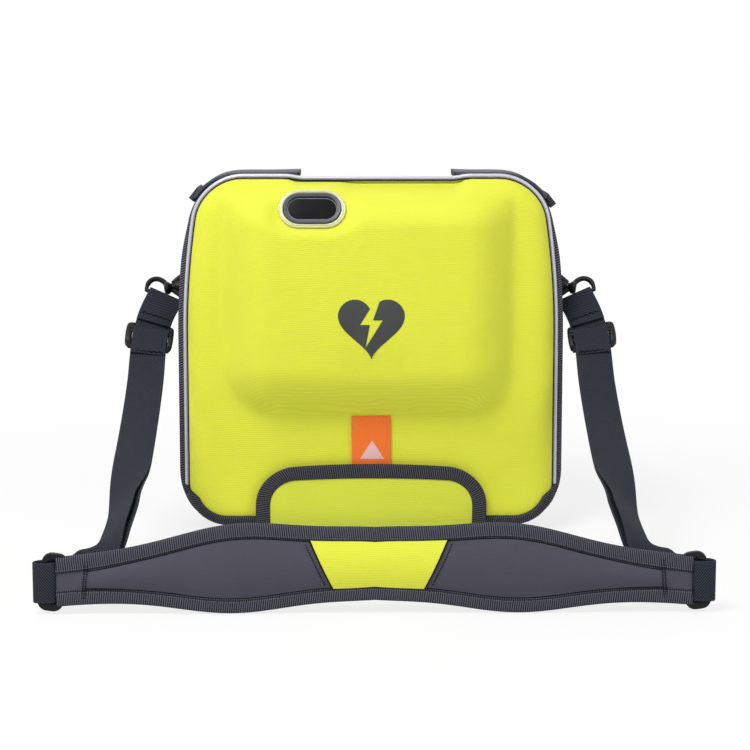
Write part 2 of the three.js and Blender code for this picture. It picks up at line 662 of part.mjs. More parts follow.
function snapHook() {
  const barrel = along(HOOK.barrel, HOOK.from, HOOK.mouth);
  const collar = along(HOOK.barrel + 0.7, HOOK.mouth - 1.3, HOOK.mouth);
  const post = along(KNUCKLE.post, KNUCKLE.deep + CLEAR, HOOK.from + 1);
  const bore = along(BOLT.bore, BOLT.blind, HOOK.mouth + 1);
  const slot = box(BOLT.blind, HOOK.mouth - 1.3, -BOLT.stud - CLEAR, BOLT.stud + CLEAR, 0, HOOK.barrel + 2);
  return inHook(cut(join(barrel, collar, post, hookArm()), bore, slot));
}
addPair("snap_hook", snapHook(), paint.black);

const studU = BOLT.rear + BOLT.stud + 0.4;

function hookBolt() {
  const rod = along(BOLT.r, BOLT.rear, BOLT.tip);
  const stud = new THREE.CylinderGeometry(BOLT.stud, BOLT.stud, BOLT.reach - 0.5, 10);
  stud.rotateX(Math.PI / 2).translate(studU, 0, (BOLT.reach + 0.5) / 2);
  const knob = new THREE.CylinderGeometry(BOLT.knob - 0.6, BOLT.knob, 1.8, 12);
  knob.rotateX(Math.PI / 2).translate(studU, 0, BOLT.reach + 0.2);
  return inHook(join(rod, stud, knob));
}
addPair("hook_bolt", hookBolt(), paint.black);

// Strap route: a smooth line with a width direction at each point
const padY = PAD.y;
const barX = LOWER_X + LOWER.wide / 2 - LOWER.bar / 2;
const barY = PAD.y;
const strapTop = knuckle.clone().add(V(STRAP_TOP.out, -STRAP_TOP.front, -STRAP_TOP.below));
const routePoints = ROUTE.map(([share, y, z]) => V(strapTop.x + share * (barX - strapTop.x), y, z));
routePoints.unshift(strapTop);
const route = new THREE.CatmullRomCurve3(routePoints, false, "centripetal");
const routeLength = route.getLength();
const tilt = turn(ROUTE_TILT);
const flatWide = V(1, 0, 0);

function routeWide(s) {
  const start = V(Math.cos(tilt), 0, Math.sin(tilt)).lerp(flatWide, smooth(clamp(s / UNTILT, 0, 1)));
  const twist = smooth(clamp((s - routeLength + TWIST.from) / TWIST.over, 0, 1));
  return start.lerp(V(0, 0, 1), twist).normalize();
}

function frameAt(s) {
  const u = clamp(s / routeLength, 0, 1);
  const at = route.getPointAt(u);
  const t = route.getTangentAt(u);
  const wide = routeWide(s).projectOnPlane(t).normalize();
  return { at, t, wide, up: V().crossVectors(t, wide) };
}

const top = frameAt(0);
const webR = EYE.wire + CLEAR + WEB_T / 2;

// One long webbing: sewn end, over the eye, down to the lower slider, round its bar and back up
function webbing() {
  const spots = [];
  const put = (at, wide) => spots.push({ at, wide });
  const offset = (s) => LAYER + (webR - LAYER) * (1 - smooth(clamp(s / 12, 0, 1)));
  const layer = (s, way) => {
    const f = frameAt(s);
    put(f.at.addScaledVector(f.up, way * offset(s)), f.wide);
  };
  for (let s = SEWN; s > 1; s -= 6) layer(s, -1);
  for (let i = 0; i <= 6; i++) {
    const a = (i / 6) * Math.PI;
    put(
      top.at.clone().addScaledVector(top.up, -webR * Math.cos(a)).addScaledVector(top.t, -webR * Math.sin(a)),
      top.wide,
    );
  }
  const steps = 24;
  for (let i = 1; i <= steps; i++) layer((i / steps) * (routeLength - 2), 1);
  const upright = V(0, 0, 1);
  const bend = [
    [-6.6, 3.4], [-4.3, 2.8], [-3.4, 1], [-3.4, -1.4], [-2.4, -3.1], [0, -3.5], [2.4, -3],
    [3.6, -1], [3.6, 1.4], [2, 4], [-1, 5.4], [-5, 5.9],
  ];
  bend.forEach(([x, y]) => put(V(barX + x, barY + y, LOWER.z), upright));
  for (let i = steps; i > 0; i--) {
    const s = (i / steps) * (routeLength - 2);
    if (s > SEWN + 8) layer(s, -1);
  }
  return sweep(spots.map((p) => p.at), band(WEB, WEB_T), (i) => spots[i].wide);
}
addPair("webbing", webbing(), paint.webbing);

// Swivel eye: a wire loop through the webbing, with the knuckle block of the hook
function swivelEye() {
  const up = top.t.clone().negate();
  const rise = knuckle.clone().sub(top.at);
  const high = rise.dot(up);
  const lift = rise.clone().addScaledVector(up, -high);
  const bend = (x, from) =>
    [0, 45, 90].map((a) => {
      return [x + EYE.low * Math.cos(turn(from + a)), EYE.low + EYE.low * Math.sin(turn(from + a))];
    });
  const outlinePoints = [...bend(EYE.half - EYE.low, -90), ...EYE_ARCH, ...bend(EYE.low - EYE.half, 180)];
  const path = outlinePoints.map(([a, b]) => {
    const share = smooth(clamp(b / high, 0, 1));
    return top.at.clone().addScaledVector(top.wide, a).addScaledVector(up, b).addScaledVector(lift, share);
  });
  const loop = sweep(path, roundSection(EYE.wire, 8), () => V().crossVectors(top.wide, up), true);
  const block = inHook(along(KNUCKLE.r, KNUCKLE.low, KNUCKLE.high));
  const bore = inHook(along(KNUCKLE.bore, KNUCKLE.deep, KNUCKLE.high + 2));
  return cut(join(loop, block), bore);
}
addPair("swivel_eye", swivelEye(), paint.black);

// Upper slider: two cheeks, a front bar across the middle and two bars behind the webbing
function onStrap(s) {
  const f = frameAt(s);
  const basis = new THREE.Matrix4().makeBasis(f.wide, f.t.clone().negate(), f.up.clone());
  if (basis.determinant() < 0) basis.makeBasis(f.wide, f.t, f.up.clone());
  return basis.setPosition(f.at);
}

function upperSlider() {
  const [w, h] = [KEEPER.wide / 2, KEEPER.high / 2];
  const z = KEEPER.gap / 2 + KEEPER.t;
  const cheek = (x) =>
    extrude(roundedRect(KEEPER.cheek, KEEPER.high, 1.4, x, 0), 2 * z, 0.5).translate(0, 0, -z);
  const bar = (y, z0) => box(-w + 1, w - 1, y - KEEPER.bar / 2, y + KEEPER.bar / 2, z0, z0 + KEEPER.t);
  const cheeks = [cheek(-w + KEEPER.cheek / 2), cheek(w - KEEPER.cheek / 2)];
  const edge = h - KEEPER.bar / 2 - 0.5;
  const bars = [bar(0, z - KEEPER.t), bar(edge, -z), bar(-edge, -z)];
  return join(...cheeks, ...bars).applyMatrix4(onStrap(KEEPER_AT + h));
}
addPair("upper_slider", upperSlider(), paint.black);

// Lower slider: a flat frame with two slots, standing on its side at the pad's end
function lowerSlider() {
  const frame = roundedRect(LOWER.wide, LOWER.high, LOWER.r);
  const slotWide = (LOWER.wide - 3 * LOWER.bar) / 2;
  const slotHigh = LOWER.high - 2 * LOWER.bar;
  const step = (slotWide + LOWER.bar) / 2;
  frame.holes.push(roundedRect(slotWide, slotHigh, 1, step, 0), roundedRect(slotWide, slotHigh, 1, -step, 0));
  const body = extrude(frame, LOWER.t, 0.5, 2);
  return facing(body, PAD.y + LOWER.t / 2).translate(LOWER_X, 0, LOWER.z);
}
addPair("lower_slider", lowerSlider(), paint.black);

// Shoulder pad: wide lobes, a waist in the middle and narrow ends, crowned over its foam
const padHalfHigh = (x) => {
  const u = Math.abs(x) / PAD.half;
  const lobe = Math.exp(-(((u - PAD_HIGH.lobeAt) / PAD_HIGH.lobeWide) ** 2));
  const waist = Math.exp(-((u / PAD_HIGH.waistWide) ** 2));
  return PAD_HIGH.end + PAD_HIGH.lobe * lobe + PAD_HIGH.waist * waist;
};
const padMiddle = (x) => PAD.z - (PAD.z - LOWER.z) * (Math.abs(x) / PAD.half) ** 1.6;

const padLoopIn = LOWER_X - LOWER.wide / 2 - CLEAR;
const padLoopHalf = LOWER.t / 2 + CLEAR + PAD.loop;

function padSection(x) {
  const [h, z] = [padHalfHigh(x), padMiddle(x)];
  const loop = Math.abs(x) > padLoopIn - 0.1;
  const edge = loop ? padLoopHalf : PAD.edge / 2;
  const end = loop ? 0 : smooth(clamp((padLoopIn - Math.abs(x)) / PAD.taper, 0, 1));
  const flat = h - PAD.margin;
  const crown = edge + (PAD.t / 2 - edge) * end;
  const middle = (share) => edge + (crown - edge) * share;
  const half = [[h, edge], [flat + 1, edge], [flat - 2, middle(0.6)], [flat * 0.5, middle(1)]];
  const front = [...half, [0, crown], ...half.map(([b, y]) => [-b, y]).reverse()];
  const back = front.map(([b, y]) => [b, -Math.min(y, edge + 1.2 * end)]).reverse();
  return [...front, ...back].map(([b, y]) => V(x, padY - y, z + b));
}

const padStations = Array.from({ length: 25 }, (_, i) => (padLoopIn - 0.4) * (i / 12 - 1));
const padEnd = [padLoopIn, PAD.half];
const tunnelHalf = LOWER.t / 2 + CLEAR;

function shoulderPad() {
  const stations = [...padEnd.map((x) => -x).reverse(), ...padStations, ...padEnd];
  const [tunnelLow, tunnelTop] = [LOWER.z - LOWER.high, LOWER.z + LOWER.high];
  const tunnelOut = padLoopIn + LOWER.bar + 2 * CLEAR;
  const tunnel = box(padLoopIn, tunnelOut, padY - tunnelHalf, padY + tunnelHalf, tunnelLow, tunnelTop);
  return cut(loft(stations.map(padSection)), tunnel, mirrored(tunnel));
}
add("shoulder_pad", shoulderPad(), paint.pad);

// Bindings folded over the upper and lower edge of the pad
function padBinding(way) {
  const e = PAD.edge / 2 + PAD_BIND.gap;
  const o = e + PAD_BIND.t;
  const rings = padStations.map((x) => {
    const z = padMiddle(x) + way * padHalfHigh(x);
    const cap = z + way * PAD_BIND.gap;
    const [rim, low] = [cap + way * PAD_BIND.t, z - way * PAD_BIND.deep];
    return [[-o, low], [-o, rim], [o, rim], [o, low], [e, low], [e, cap], [-e, cap], [-e, low]]
      .map(([y, height]) => V(x, padY + y, height));
  });
  return loft(rings);
}
add("pad_binding_top", padBinding(1), paint.binding);
add("pad_binding_bottom", padBinding(-1), paint.binding);

function padPanel() {
  const shape = new THREE.Shape();
  shape.moveTo(-PANEL.foot, PANEL.low);
  shape.lineTo(PANEL.foot, PANEL.low);
  shape.lineTo(PANEL.top, PANEL.high);
  shape.lineTo(-PANEL.top, PANEL.high);
  return facing(extrude(shape, PANEL.t), padY - PAD.t / 2 - CLEAR);
}
add("pad_panel", padPanel(), paint.hivis);

// Defibrillator unit: front housing that follows the cover, back housing, gasket between them
const unitFrontRear = UNIT_SPLIT - GASKET_T / 2 - CLEAR;
const unitBackFront = UNIT_SPLIT + GASKET_T / 2 + CLEAR;
const faceY = FACE_Y - EDGE_RISE - DOME_RISE + UNIT_GAP;

const buttonHole = (b, r, y0, y1) =>
  new THREE.CylinderGeometry(r, r, y1 - y0, 20).translate(b.x, (y0 + y1) / 2, b.z);

function unitFront() {
  const body = (t, rear) => {
    const walls = [outline(UNIT_IN + t, rear, UNIT_SIDE)];
    const edge = [EDGE_RISE - t, EDGE_RISE - t];
    const bowl = frontBody(walls, UNIT_IN + t, UNIT_GAP, ...edge, UNIT_SIDE);
    return join(bowl, dome(UNIT_DOME_IN + t / 2, UNIT_DOME_DROP + t / 2, UNIT_GAP + t));
  };
  const shell = cut(body(0, unitFrontRear), body(UNIT_WALL, unitFrontRear + 1));
  const holes = BUTTONS.map((b) => buttonHole(b, b.r + BUTTON.run, faceY - 5, faceY + 8));
  const grille = Array.from({ length: 7 }, (_, i) => {
    const a = (i * Math.PI) / 3;
    const r = i === 6 ? 0 : SPEAKER.ring;
    const spot = { x: SPEAKER.x + r * Math.cos(a), z: SPEAKER.z + r * Math.sin(a) };
    return new THREE.CylinderGeometry(SPEAKER.hole, SPEAKER.hole, 10, 8).translate(spot.x, faceY + 1, spot.z);
  });
  const port = stadium(LENS.long + 2 * CLEAR, LENS.high + 2 * CLEAR);
  const lensHole = inWindow(extrude(port, LENS.to - LENS.from + 8), LENS.from - 4);
  return cut(shell, ...holes, ...grille, lensHole);
}
add("unit_front_housing", unitFront(), paint.housing);

function unitBack() {
  const tray = loft([
    outline(UNIT_IN + 6, UNIT_BACK, UNIT_SIDE),
    outline(UNIT_IN, UNIT_BACK - 6, UNIT_SIDE),
    outline(UNIT_IN, unitBackFront, UNIT_SIDE),
    outline(UNIT_IN + UNIT_WALL, unitBackFront, UNIT_SIDE),
    outline(UNIT_IN + UNIT_WALL, UNIT_BACK - 6, UNIT_SIDE),
    outline(UNIT_IN + 7, UNIT_BACK - UNIT_WALL, UNIT_SIDE),
  ]);
  const w = RECESS.wall;
  const floor = CASE_TOP - RECESS.down;
  const high = CASE_TOP - UNIT_IN;
  const well = box(RECESS.x0 - w, RECESS.x1 + w, RECESS.y0 - w, RECESS.y1 + w, floor - w, high);
  const hollow = box(RECESS.x0, RECESS.x1, RECESS.y0, RECESS.y1, floor, high + 5);
  const foot = (x) => box(x - 15, x + 15, 5, 35, CASE_BOTTOM + WALL + CLEAR, CASE_BOTTOM + UNIT_IN + 1);
  const rear = UNIT_BACK - UNIT_WALL + 0.5;
  const front = BOARD.y + BOARD.t / 2 + CLEAR;
  const bosses = [-1, 1].flatMap((i) => [BOARD.low + BOARD.in, BOARD.high - BOARD.in].map((z) => {
    const boss = new THREE.CylinderGeometry(BOARD.boss, BOARD.boss, rear - front, 12);
    return boss.translate(i * (BOARD.half - BOARD.in), (rear + front) / 2, z);
  }));
  return cut(join(tray, well, foot(-80), foot(80), ...bosses), hollow);
}
add("unit_back_housing", unitBack(), paint.housing);

const gasketRear = UNIT_SPLIT + GASKET_T / 2;
add("unit_gasket", loft([
  outline(UNIT_IN + 0.6, gasketRear, UNIT_SIDE),
  outline(UNIT_IN + 0.6, gasketRear - GASKET_T, UNIT_SIDE),
  outline(UNIT_IN + UNIT_WALL - 0.4, gasketRear - GASKET_T, UNIT_SIDE),
  outline(UNIT_IN + UNIT_WALL - 0.4, gasketRear, UNIT_SIDE),
], true), paint.rubber);

// Handle bar across the recess at the top of the unit
const gripY = (RECESS.y0 + RECESS.y1) / 2;
const gripZ = CASE_TOP - GRIP_R - 1.5;

function unitHandle() {
  const [a, b] = [RECESS.x0 + CLEAR, RECESS.x1 - CLEAR];
  const profile = [[0, 0], [GRIP_R, 0], [GRIP_R, 4], [GRIP_R - 1.5, 14], [GRIP_R - 1.5, b - a - 14]];
  profile.push([GRIP_R, b - a - 4], [GRIP_R, b - a], [0, b - a]);
  const grip = new THREE.LatheGeometry(profile.map(([r, h]) => new THREE.Vector2(r, h)), 16);
  return grip.rotateZ(-Math.PI / 2).translate(a, gripY, gripZ);
}
add("unit_handle", unitHandle(), paint.black);

const displayShape = roundedRect(DISPLAY.wide, DISPLAY.high, 4, DISPLAY.x, DISPLAY.z);
add("unit_display", facing(extrude(displayShape, DISPLAY.t), faceY - CLEAR), paint.glass);
const lens = extrude(stadium(LENS.long, LENS.high), LENS.to - LENS.from);
add("indicator_lens", inWindow(lens, LENS.from), paint.green);

// Buttons: a cap through the housing with a flange behind it
const buttonColours = [paint.green, paint.orange, paint.blue];
BUTTONS.forEach((b, i) => {
  const rear = faceY + UNIT_WALL + CLEAR;
  const cap = faceY - BUTTON.proud;
  const deep = rear + BUTTON.flangeT - cap;
  const profile = [[0, 0], [b.r - 1, 0], [b.r, 1], [b.r, rear - cap], [b.r + BUTTON.flange, rear - cap]];
  profile.push([b.r + BUTTON.flange, deep], [0, deep]);
  const body = new THREE.LatheGeometry(profile.map(([r, h]) => new THREE.Vector2(r, h)), 20);
  const placed = body.translate(b.x, cap, b.z);
  add(b.name, placed, buttonColours[i]);
});

// Inside the unit
const innerFace = faceY + UNIT_WALL;
const speaker = new THREE.CylinderGeometry(SPEAKER.r, SPEAKER.r - 3, SPEAKER.t, 24).rotateX(Math.PI);
speaker.translate(SPEAKER.x, innerFace + CLEAR + SPEAKER.t / 2, SPEAKER.z);
add("unit_speaker", speaker, paint.black);

const innerBack = UNIT_BACK - UNIT_WALL - CLEAR;
const innerFloor = CASE_BOTTOM + UNIT_IN + UNIT_WALL + CLEAR;
const batteryBody = extrude(roundedRect(BATTERY.wide, BATTERY.high, 5, BATTERY.x, 0), BATTERY.deep, 2);
const batteryZ = innerFloor + BATTERY.high / 2 + BATTERY.up;
add("battery_pack", facing(batteryBody, innerBack).translate(0, 0, batteryZ), paint.grey);

add("main_board", box(
  -BOARD.half, BOARD.half, BOARD.y - BOARD.t / 2, BOARD.y + BOARD.t / 2, BOARD.low, BOARD.high,
), paint.board);

const canY = BOARD.y - BOARD.t / 2 - CLEAR - CAPACITOR.r;
const can = new THREE.CylinderGeometry(CAPACITOR.r, CAPACITOR.r, CAPACITOR.long, 24);
add("energy_capacitor", can.rotateZ(Math.PI / 2).translate(CAPACITOR.x, canY, CAPACITOR.z), paint.blue);

const pouchShape = roundedRect(POUCH.wide, POUCH.high - POUCH.low, 6, POUCH.x, (POUCH.high + POUCH.low) / 2);
const pouchFront = FACE_Y - EDGE_RISE + UNIT_GAP + UNIT_WALL + CLEAR;
add("electrode_pouch", facing(extrude(pouchShape, POUCH.t, 3), pouchFront + POUCH.t), paint.foil);

export default defibrillator;
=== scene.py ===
"""Looks of the defibrillator's carry case: moulded hi-vis cover, dark rear shell, strap with its pad.

Sizes are in millimetres in the frame of the CAD model, +Z up and -Y towards the viewer. The helpers turn
them into metres when a mesh is made. The right-hand hardware is drawn once and mirrored for the left.
"""

import math

import bmesh
import bpy
from mathutils import Matrix, Vector


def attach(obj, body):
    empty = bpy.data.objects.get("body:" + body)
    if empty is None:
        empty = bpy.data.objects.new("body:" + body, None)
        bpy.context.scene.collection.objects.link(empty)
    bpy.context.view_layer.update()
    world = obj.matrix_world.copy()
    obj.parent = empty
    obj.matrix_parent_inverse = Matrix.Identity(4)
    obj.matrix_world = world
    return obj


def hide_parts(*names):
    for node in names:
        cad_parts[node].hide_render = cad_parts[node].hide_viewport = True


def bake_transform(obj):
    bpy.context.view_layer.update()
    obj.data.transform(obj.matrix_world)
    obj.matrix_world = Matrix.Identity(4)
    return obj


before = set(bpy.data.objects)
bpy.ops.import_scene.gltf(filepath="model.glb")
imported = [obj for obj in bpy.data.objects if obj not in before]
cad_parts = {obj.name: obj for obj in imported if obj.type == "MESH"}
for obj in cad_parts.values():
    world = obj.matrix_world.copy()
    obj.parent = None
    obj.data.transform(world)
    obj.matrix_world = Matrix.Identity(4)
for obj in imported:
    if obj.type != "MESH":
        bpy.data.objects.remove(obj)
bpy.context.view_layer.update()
MM = 0.001
SIDES = (("right", 1), ("left", -1))

# Case outline and depths, as in the CAD model
CASE_BOTTOM, CASE_TOP, CASE_HALF, CORNER_R = 7.0, 272.0, 140.0, 30.0
LEAN_R, LEAN_FROM, MIN_R = 600.0, 150.0, 3.0
SHELL_IN, FLANGE_IN, RIM_OUT, WALL = 10.0, 3.0, 4.8, 4.5
CASE_BACK, BACK_ROUND, ZIP_Y, SEAM = 56.0, 9.0, -24.0, 1.8
RIM_REAR, RIM_FRONT, FACE_Y = -33.0, -43.5, -46.0
EDGE_IN, EDGE_RISE = 16.0, 12.0
DIP, REAR_DIP, RIM_MORE = 1.6, 3.6, 2.7
DOME_RISE, DOME_HALF, DOME_X, DOME_LOW, DOME_R, DOME_BLEND = 24.0, 110.0, -2.5, 94.0, 40.0, 38.0
DOME_TOP = CASE_TOP - 6.0
DOME_TOP_RUN = 30.0
WINDOW = Vector((-44, -71.5, 250))
WINDOW_TILT = math.radians(27.3)
RING_LONG, RING_HIGH, HOLE_LONG, HOLE_HIGH = 50.6, 30.6, 43.4, 24.8
FLAP_HALF, FLAP_TOP, FLAP_R, FLAP_BIND = 88.0, 54.4, 32.0, 10.7
FLAP_FRONT = FACE_Y - EDGE_RISE - 2.5
PAD_Y, PAD_HALF, PAD_LOOP, PAD_Z = -293.0, 208.4, 202.2, 33.2
SLIDER = Vector((211.5, -293, 21.5))
WEB, WEB_T, LAYER = 27.0, 1.6, 1.3


def deg(a):
    return math.radians(a)


def clamp(t, low=0.0, high=1.0):
    return max(low, min(high, t))


def smooth(t):
    t = clamp(t)
    return t * t * (3 - 2 * t)


def lerp(a, b, t):
    return a + (b - a) * t


def spaced(a, b, steps):
    """Evenly spaced numbers from a to b, both included."""
    return [lerp(a, b, i / steps) for i in range(steps + 1)]


def arc(cx, cy, r, start, end, steps):
    """Points round a centre, from one angle in degrees to another."""
    return [(cx + r * math.cos(deg(a)), cy + r * math.sin(deg(a))) for a in spaced(start, end, steps)]


# Materials


def rgb(r, g, b):
    """An 8-bit sRGB colour as the linear colour that Blender's sockets take."""
    shares = (r / 255, g / 255, b / 255)
    return (*(c / 12.92 if c <= 0.04045 else ((c + 0.055) / 1.055) ** 2.4 for c in shares), 1.0)


def math_node(tree, operation, *inputs):
    """The output of a Math node whose inputs are numbers or other outputs."""
    made = tree.nodes.new("ShaderNodeMath")
    made.operation = operation
    for socket, value in zip(made.inputs, inputs):
        if isinstance(value, (int, float)):
            socket.default_value = value
        else:
            tree.links.new(value, socket)
    return made.outputs[0]


class Finish:
    """A node material: base colour, then patterns that change its colour, roughness and bump."""

    def __init__(self, name, color, roughness, coords="Object", **sockets):
        self.material = bpy.data.materials.new(name)
        self.material.use_nodes = True
        self.tree = self.material.node_tree
        self.shader = self.tree.nodes["Principled BSDF"]
        self.shader.inputs["Base Color"].default_value = color
        self.shader.inputs["Roughness"].default_value = roughness
        for socket, value in sockets.items():
            self.shader.inputs[socket.replace("_", " ")].default_value = value
        self.base, self.color, self.height = color, None, None
        self.coords = self.node("ShaderNodeTexCoord").outputs[coords]
        split = self.node("ShaderNodeSeparateXYZ")
        self.link(self.coords, split.inputs[0])
        self.axes = list(split.outputs)

    def node(self, kind, **settings):
        made = self.tree.nodes.new(kind)
        for key, value in settings.items():
            setattr(made, key, value)
        return made

    def link(self, a, b):
        self.tree.links.new(a, b)

    def math(self, operation, *inputs):
        return math_node(self.tree, operation, *inputs)

    def times(self, a, b):
        return self.math("MULTIPLY", a, b)

    def near(self, source, value, within):
        """1 where a coordinate is this near to a value, and 0 elsewhere."""
        return self.math("LESS_THAN", self.math("ABSOLUTE", self.math("SUBTRACT", source, value)), within)

    def wave(self, source, pitch):
        """A sine of this pitch along a coordinate, from 0 to 1."""
        turn = self.times(source, 2 * math.pi / pitch)
        return self.math("MULTIPLY_ADD", self.math("SINE", turn), 0.5, 0.5)

    def noise(self, scale, detail=2.0, stretch=None):
        made = self.node("ShaderNodeTexNoise")
        made.inputs["Scale"].default_value = scale
        made.inputs["Detail"].default_value = detail
        source = self.coords
        if stretch:
            mapping = self.node("ShaderNodeMapping")
            mapping.inputs["Scale"].default_value = stretch
            self.link(source, mapping.inputs[0])
            source = mapping.outputs[0]
        self.link(source, made.inputs["Vector"])
        return made.outputs["Fac"]

    def tint(self, mask, color, share=1.0):
        """Mixes this share of a colour in where the mask is 1."""
        mix = self.node("ShaderNodeMix", data_type="RGBA")
        factor, first, second = mix.inputs[0], mix.inputs[6], mix.inputs[7]
        self.link(self.times(mask, share), factor)
        if self.color is None:
            first.default_value = self.base
        else:
            self.link(self.color, first)
        second.default_value = color
        self.color = mix.outputs[2]
        self.link(self.color, self.shader.inputs["Base Color"])
        return self

    def mottle(self, scale, amount, darker, detail=3.0):
        """Slow changes of colour, as in cloth or moulded foam."""
        return self.tint(self.noise(scale, detail), darker, amount)

    def wear(self, scale, detail, amount, least):
        """Roughness that changes slowly over the surface."""
        rough = self.math("MULTIPLY_ADD", self.noise(scale, detail), amount, least)
        self.link(rough, self.shader.inputs["Roughness"])
        return self

    def raise_by(self, mask, height):
        """Adds height, in metres, where the mask is 1."""
        term = self.times(mask, height)
        self.height = term if self.height is None else self.math("ADD", self.height, term)
        return self

    def done(self, strength):
        """The material, with the heights as its bump."""
        bump = self.node("ShaderNodeBump")
        bump.inputs["Strength"].default_value = strength
        bump.inputs["Distance"].default_value = 1.0
        self.link(self.height, bump.inputs["Height"])
        self.link(bump.outputs[0], self.shader.inputs["Normal"])
        return self.material


def laminate(name, color, darker, pitch, depth, roughness=0.72, gloss=0.5):
    """Woven cloth bonded to moulded foam: wavy courses across it, finer threads down it and soft mottling."""
    sheen = 0.2 * gloss
    f = Finish(name, color, roughness, Sheen_Weight=sheen, Sheen_Roughness=0.5, Specular_IOR_Level=gloss)
    x, y, z = f.axes
    drift = f.times(f.noise(45, 2.0, (0.5, 1.0, 1.0)), 0.006)
    course = f.wave(f.math("ADD", f.math("MULTIPLY_ADD", y, 0.7, z), drift), pitch)
    thread = f.wave(f.math("ADD", x, f.times(y, 0.5)), pitch * 0.6)
    weave = f.times(course, f.math("MULTIPLY_ADD", thread, 0.4, 0.6))
    f.mottle(14, 0.2, darker).mottle(700, 0.16, darker, 1.0).tint(weave, darker, 0.3)
    return f.raise_by(weave, depth).raise_by(f.noise(1600, 1.0), depth * 0.4).done(0.8)


def tape(name, color, lighter, darker, pitch, slant, row=0.0):
    """Ribbed binding tape: ribs across its length (U), slanted with V, painted darker in their grooves as
    shade and lighter on their ridges as highlight, and a row of stitches at V = row with a line of painted
    shadow just inside it.
    """
    f = Finish(name, color, 0.85, "UV", Specular_IOR_Level=0.15)
    u, v, _ = f.axes
    rib = f.wave(f.math("MULTIPLY_ADD", v, slant, u), pitch)
    # The grooves take the darker colour and the ridges the lighter one: painted shade in the grooves and
    # painted highlight on the ridges, on top of the bump.
    f.tint(f.math("POWER", f.math("SUBTRACT", 1.0, rib), 1.3), darker, 0.95)
    f.tint(f.math("POWER", rib, 2.0), lighter, 0.75).raise_by(rib, 0.00025)
    if row:
        dashes = stitches(f, row, 2.4)
        # A darker line just inside the stitch row, at the tape's edge over the pad: painted shadow.
        f.tint(f.near(v, row - 0.9, 0.45), darker, 0.7).tint(dashes, lighter, 0.45).raise_by(dashes, 0.0003)
    return f.done(0.9)


def stitches(f, row, pitch):
    """Dashes along U at the distance V = row."""
    u, v, _ = f.axes
    dash = f.math("LESS_THAN", f.math("FRACT", f.math("DIVIDE", u, pitch)), 0.66)
    return f.times(f.near(v, row, 0.32), dash)


def webbing_finish(name, color, lighter, darker, width=WEB):
    """Twill webbing: V runs across it from 0 to its width, U along it."""
    f = Finish(name, color, 0.82, "UV", Specular_IOR_Level=0.15)
    u, v, _ = f.axes
    slant = f.wave(f.math("MULTIPLY_ADD", v, 0.8, u), 1.7)
    f.tint(f.math("SUBTRACT", 1.0, slant), darker, 0.8).tint(f.math("POWER", slant, 2.0), lighter, 0.7)
    edge = f.math("SUBTRACT", width / 2, f.math("ABSOLUTE", f.math("SUBTRACT", v, width / 2)))
    rim = f.times(f.math("LESS_THAN", edge, 1.4), f.wave(u, 0.9))
    f.tint(rim, lighter, 0.3)
    return f.raise_by(slant, 0.00018).raise_by(f.wave(v, 0.9), 0.00006).raise_by(rim, 0.00012).done(0.9)


def moulded(name, color, lighter, roughness=0.42, grain=0.00003, **sockets):
    """Moulded plastic with a fine grain and slightly polished wear."""
    f = Finish(name, color, roughness, **sockets)
    f.mottle(60, 0.35, lighter, 4.0).wear(40, 3.0, 0.2, roughness - 0.1)
    return f.raise_by(f.noise(2200), grain).done(0.7)


def glossy(name, color, roughness, Coat_Weight=0.3, **sockets):
    """Smooth plastic or lacquer with faint unevenness."""
    f = Finish(name, color, roughness, Coat_Weight=Coat_Weight, **sockets)
    return f.wear(25, 2.0, 0.12, roughness - 0.05).raise_by(f.noise(300), 0.00001).done(0.4)


HIVIS = laminate("hivis_laminate", rgb(232, 236, 62), rgb(192, 200, 40), 0.0016, 0.0001)
# A darker copy of the hi-vis laminate for the flap low on the case: painted shade.
HIVIS_FLAP_SHADED = laminate("hivis_flap_shaded", rgb(216, 224, 60), rgb(182, 192, 40), 0.0016, 0.00009, 0.62)
DARK = laminate("dark_laminate", rgb(58, 58, 67), rgb(42, 42, 50), 0.0011, 0.00006, 0.8, 0.2)
LINING = laminate("case_lining", rgb(50, 52, 58), rgb(36, 38, 43), 0.0016, 0.0001, 0.9, 0.2)
PAD_TAPE = tape("pad_tape", rgb(58, 58, 68), rgb(106, 107, 120), rgb(22, 22, 28), 1.45, 0.12, 2.1)
TAPE = tape("ribbed_tape", rgb(47, 47, 55), rgb(98, 99, 111), rgb(16, 16, 20), 1.65, 0.15)
RIM = tape("rim_tape", rgb(54, 54, 62), rgb(126, 126, 137), rgb(18, 18, 22), 1.9, 0.6)
WEBBING = webbing_finish("strap_webbing", rgb(37, 40, 48), rgb(66, 70, 82), rgb(17, 19, 24))
ORANGE = webbing_finish("orange_webbing", rgb(255, 122, 48), rgb(255, 146, 78), rgb(236, 100, 36), 30)
BLACK = moulded("black_plastic", rgb(15, 15, 18), rgb(24, 24, 28), Specular_IOR_Level=0.22)
RUBBER = moulded("base_rubber", rgb(34, 35, 38), rgb(46, 47, 50), 0.85, 0.00008)
GREY = moulded("bezel_plastic", rgb(80, 80, 89), rgb(98, 98, 107), 0.35)
HOUSING = moulded("unit_housing", rgb(92, 98, 104), rgb(108, 114, 120), 0.5, 0.00006)
METAL = moulded("ring_metal", rgb(24, 24, 27), rgb(44, 44, 48), 0.3, Metallic=0.6)
SMOKE = glossy("smoked_window", rgb(13, 12, 17), 0.14, Specular_IOR_Level=0.12, Coat_Weight=0.0)
GLASS = glossy("display_glass", rgb(14, 16, 20), 0.08, Specular_IOR_Level=0.3)
GREEN = glossy("green_plastic", rgb(46, 158, 78), 0.2)
AMBER = glossy("orange_plastic", rgb(240, 112, 40), 0.22)
BLUE = glossy("blue_plastic", rgb(52, 116, 186), 0.25)
BOARD = moulded("solder_mask", rgb(30, 92, 54), rgb(44, 110, 66), 0.4)
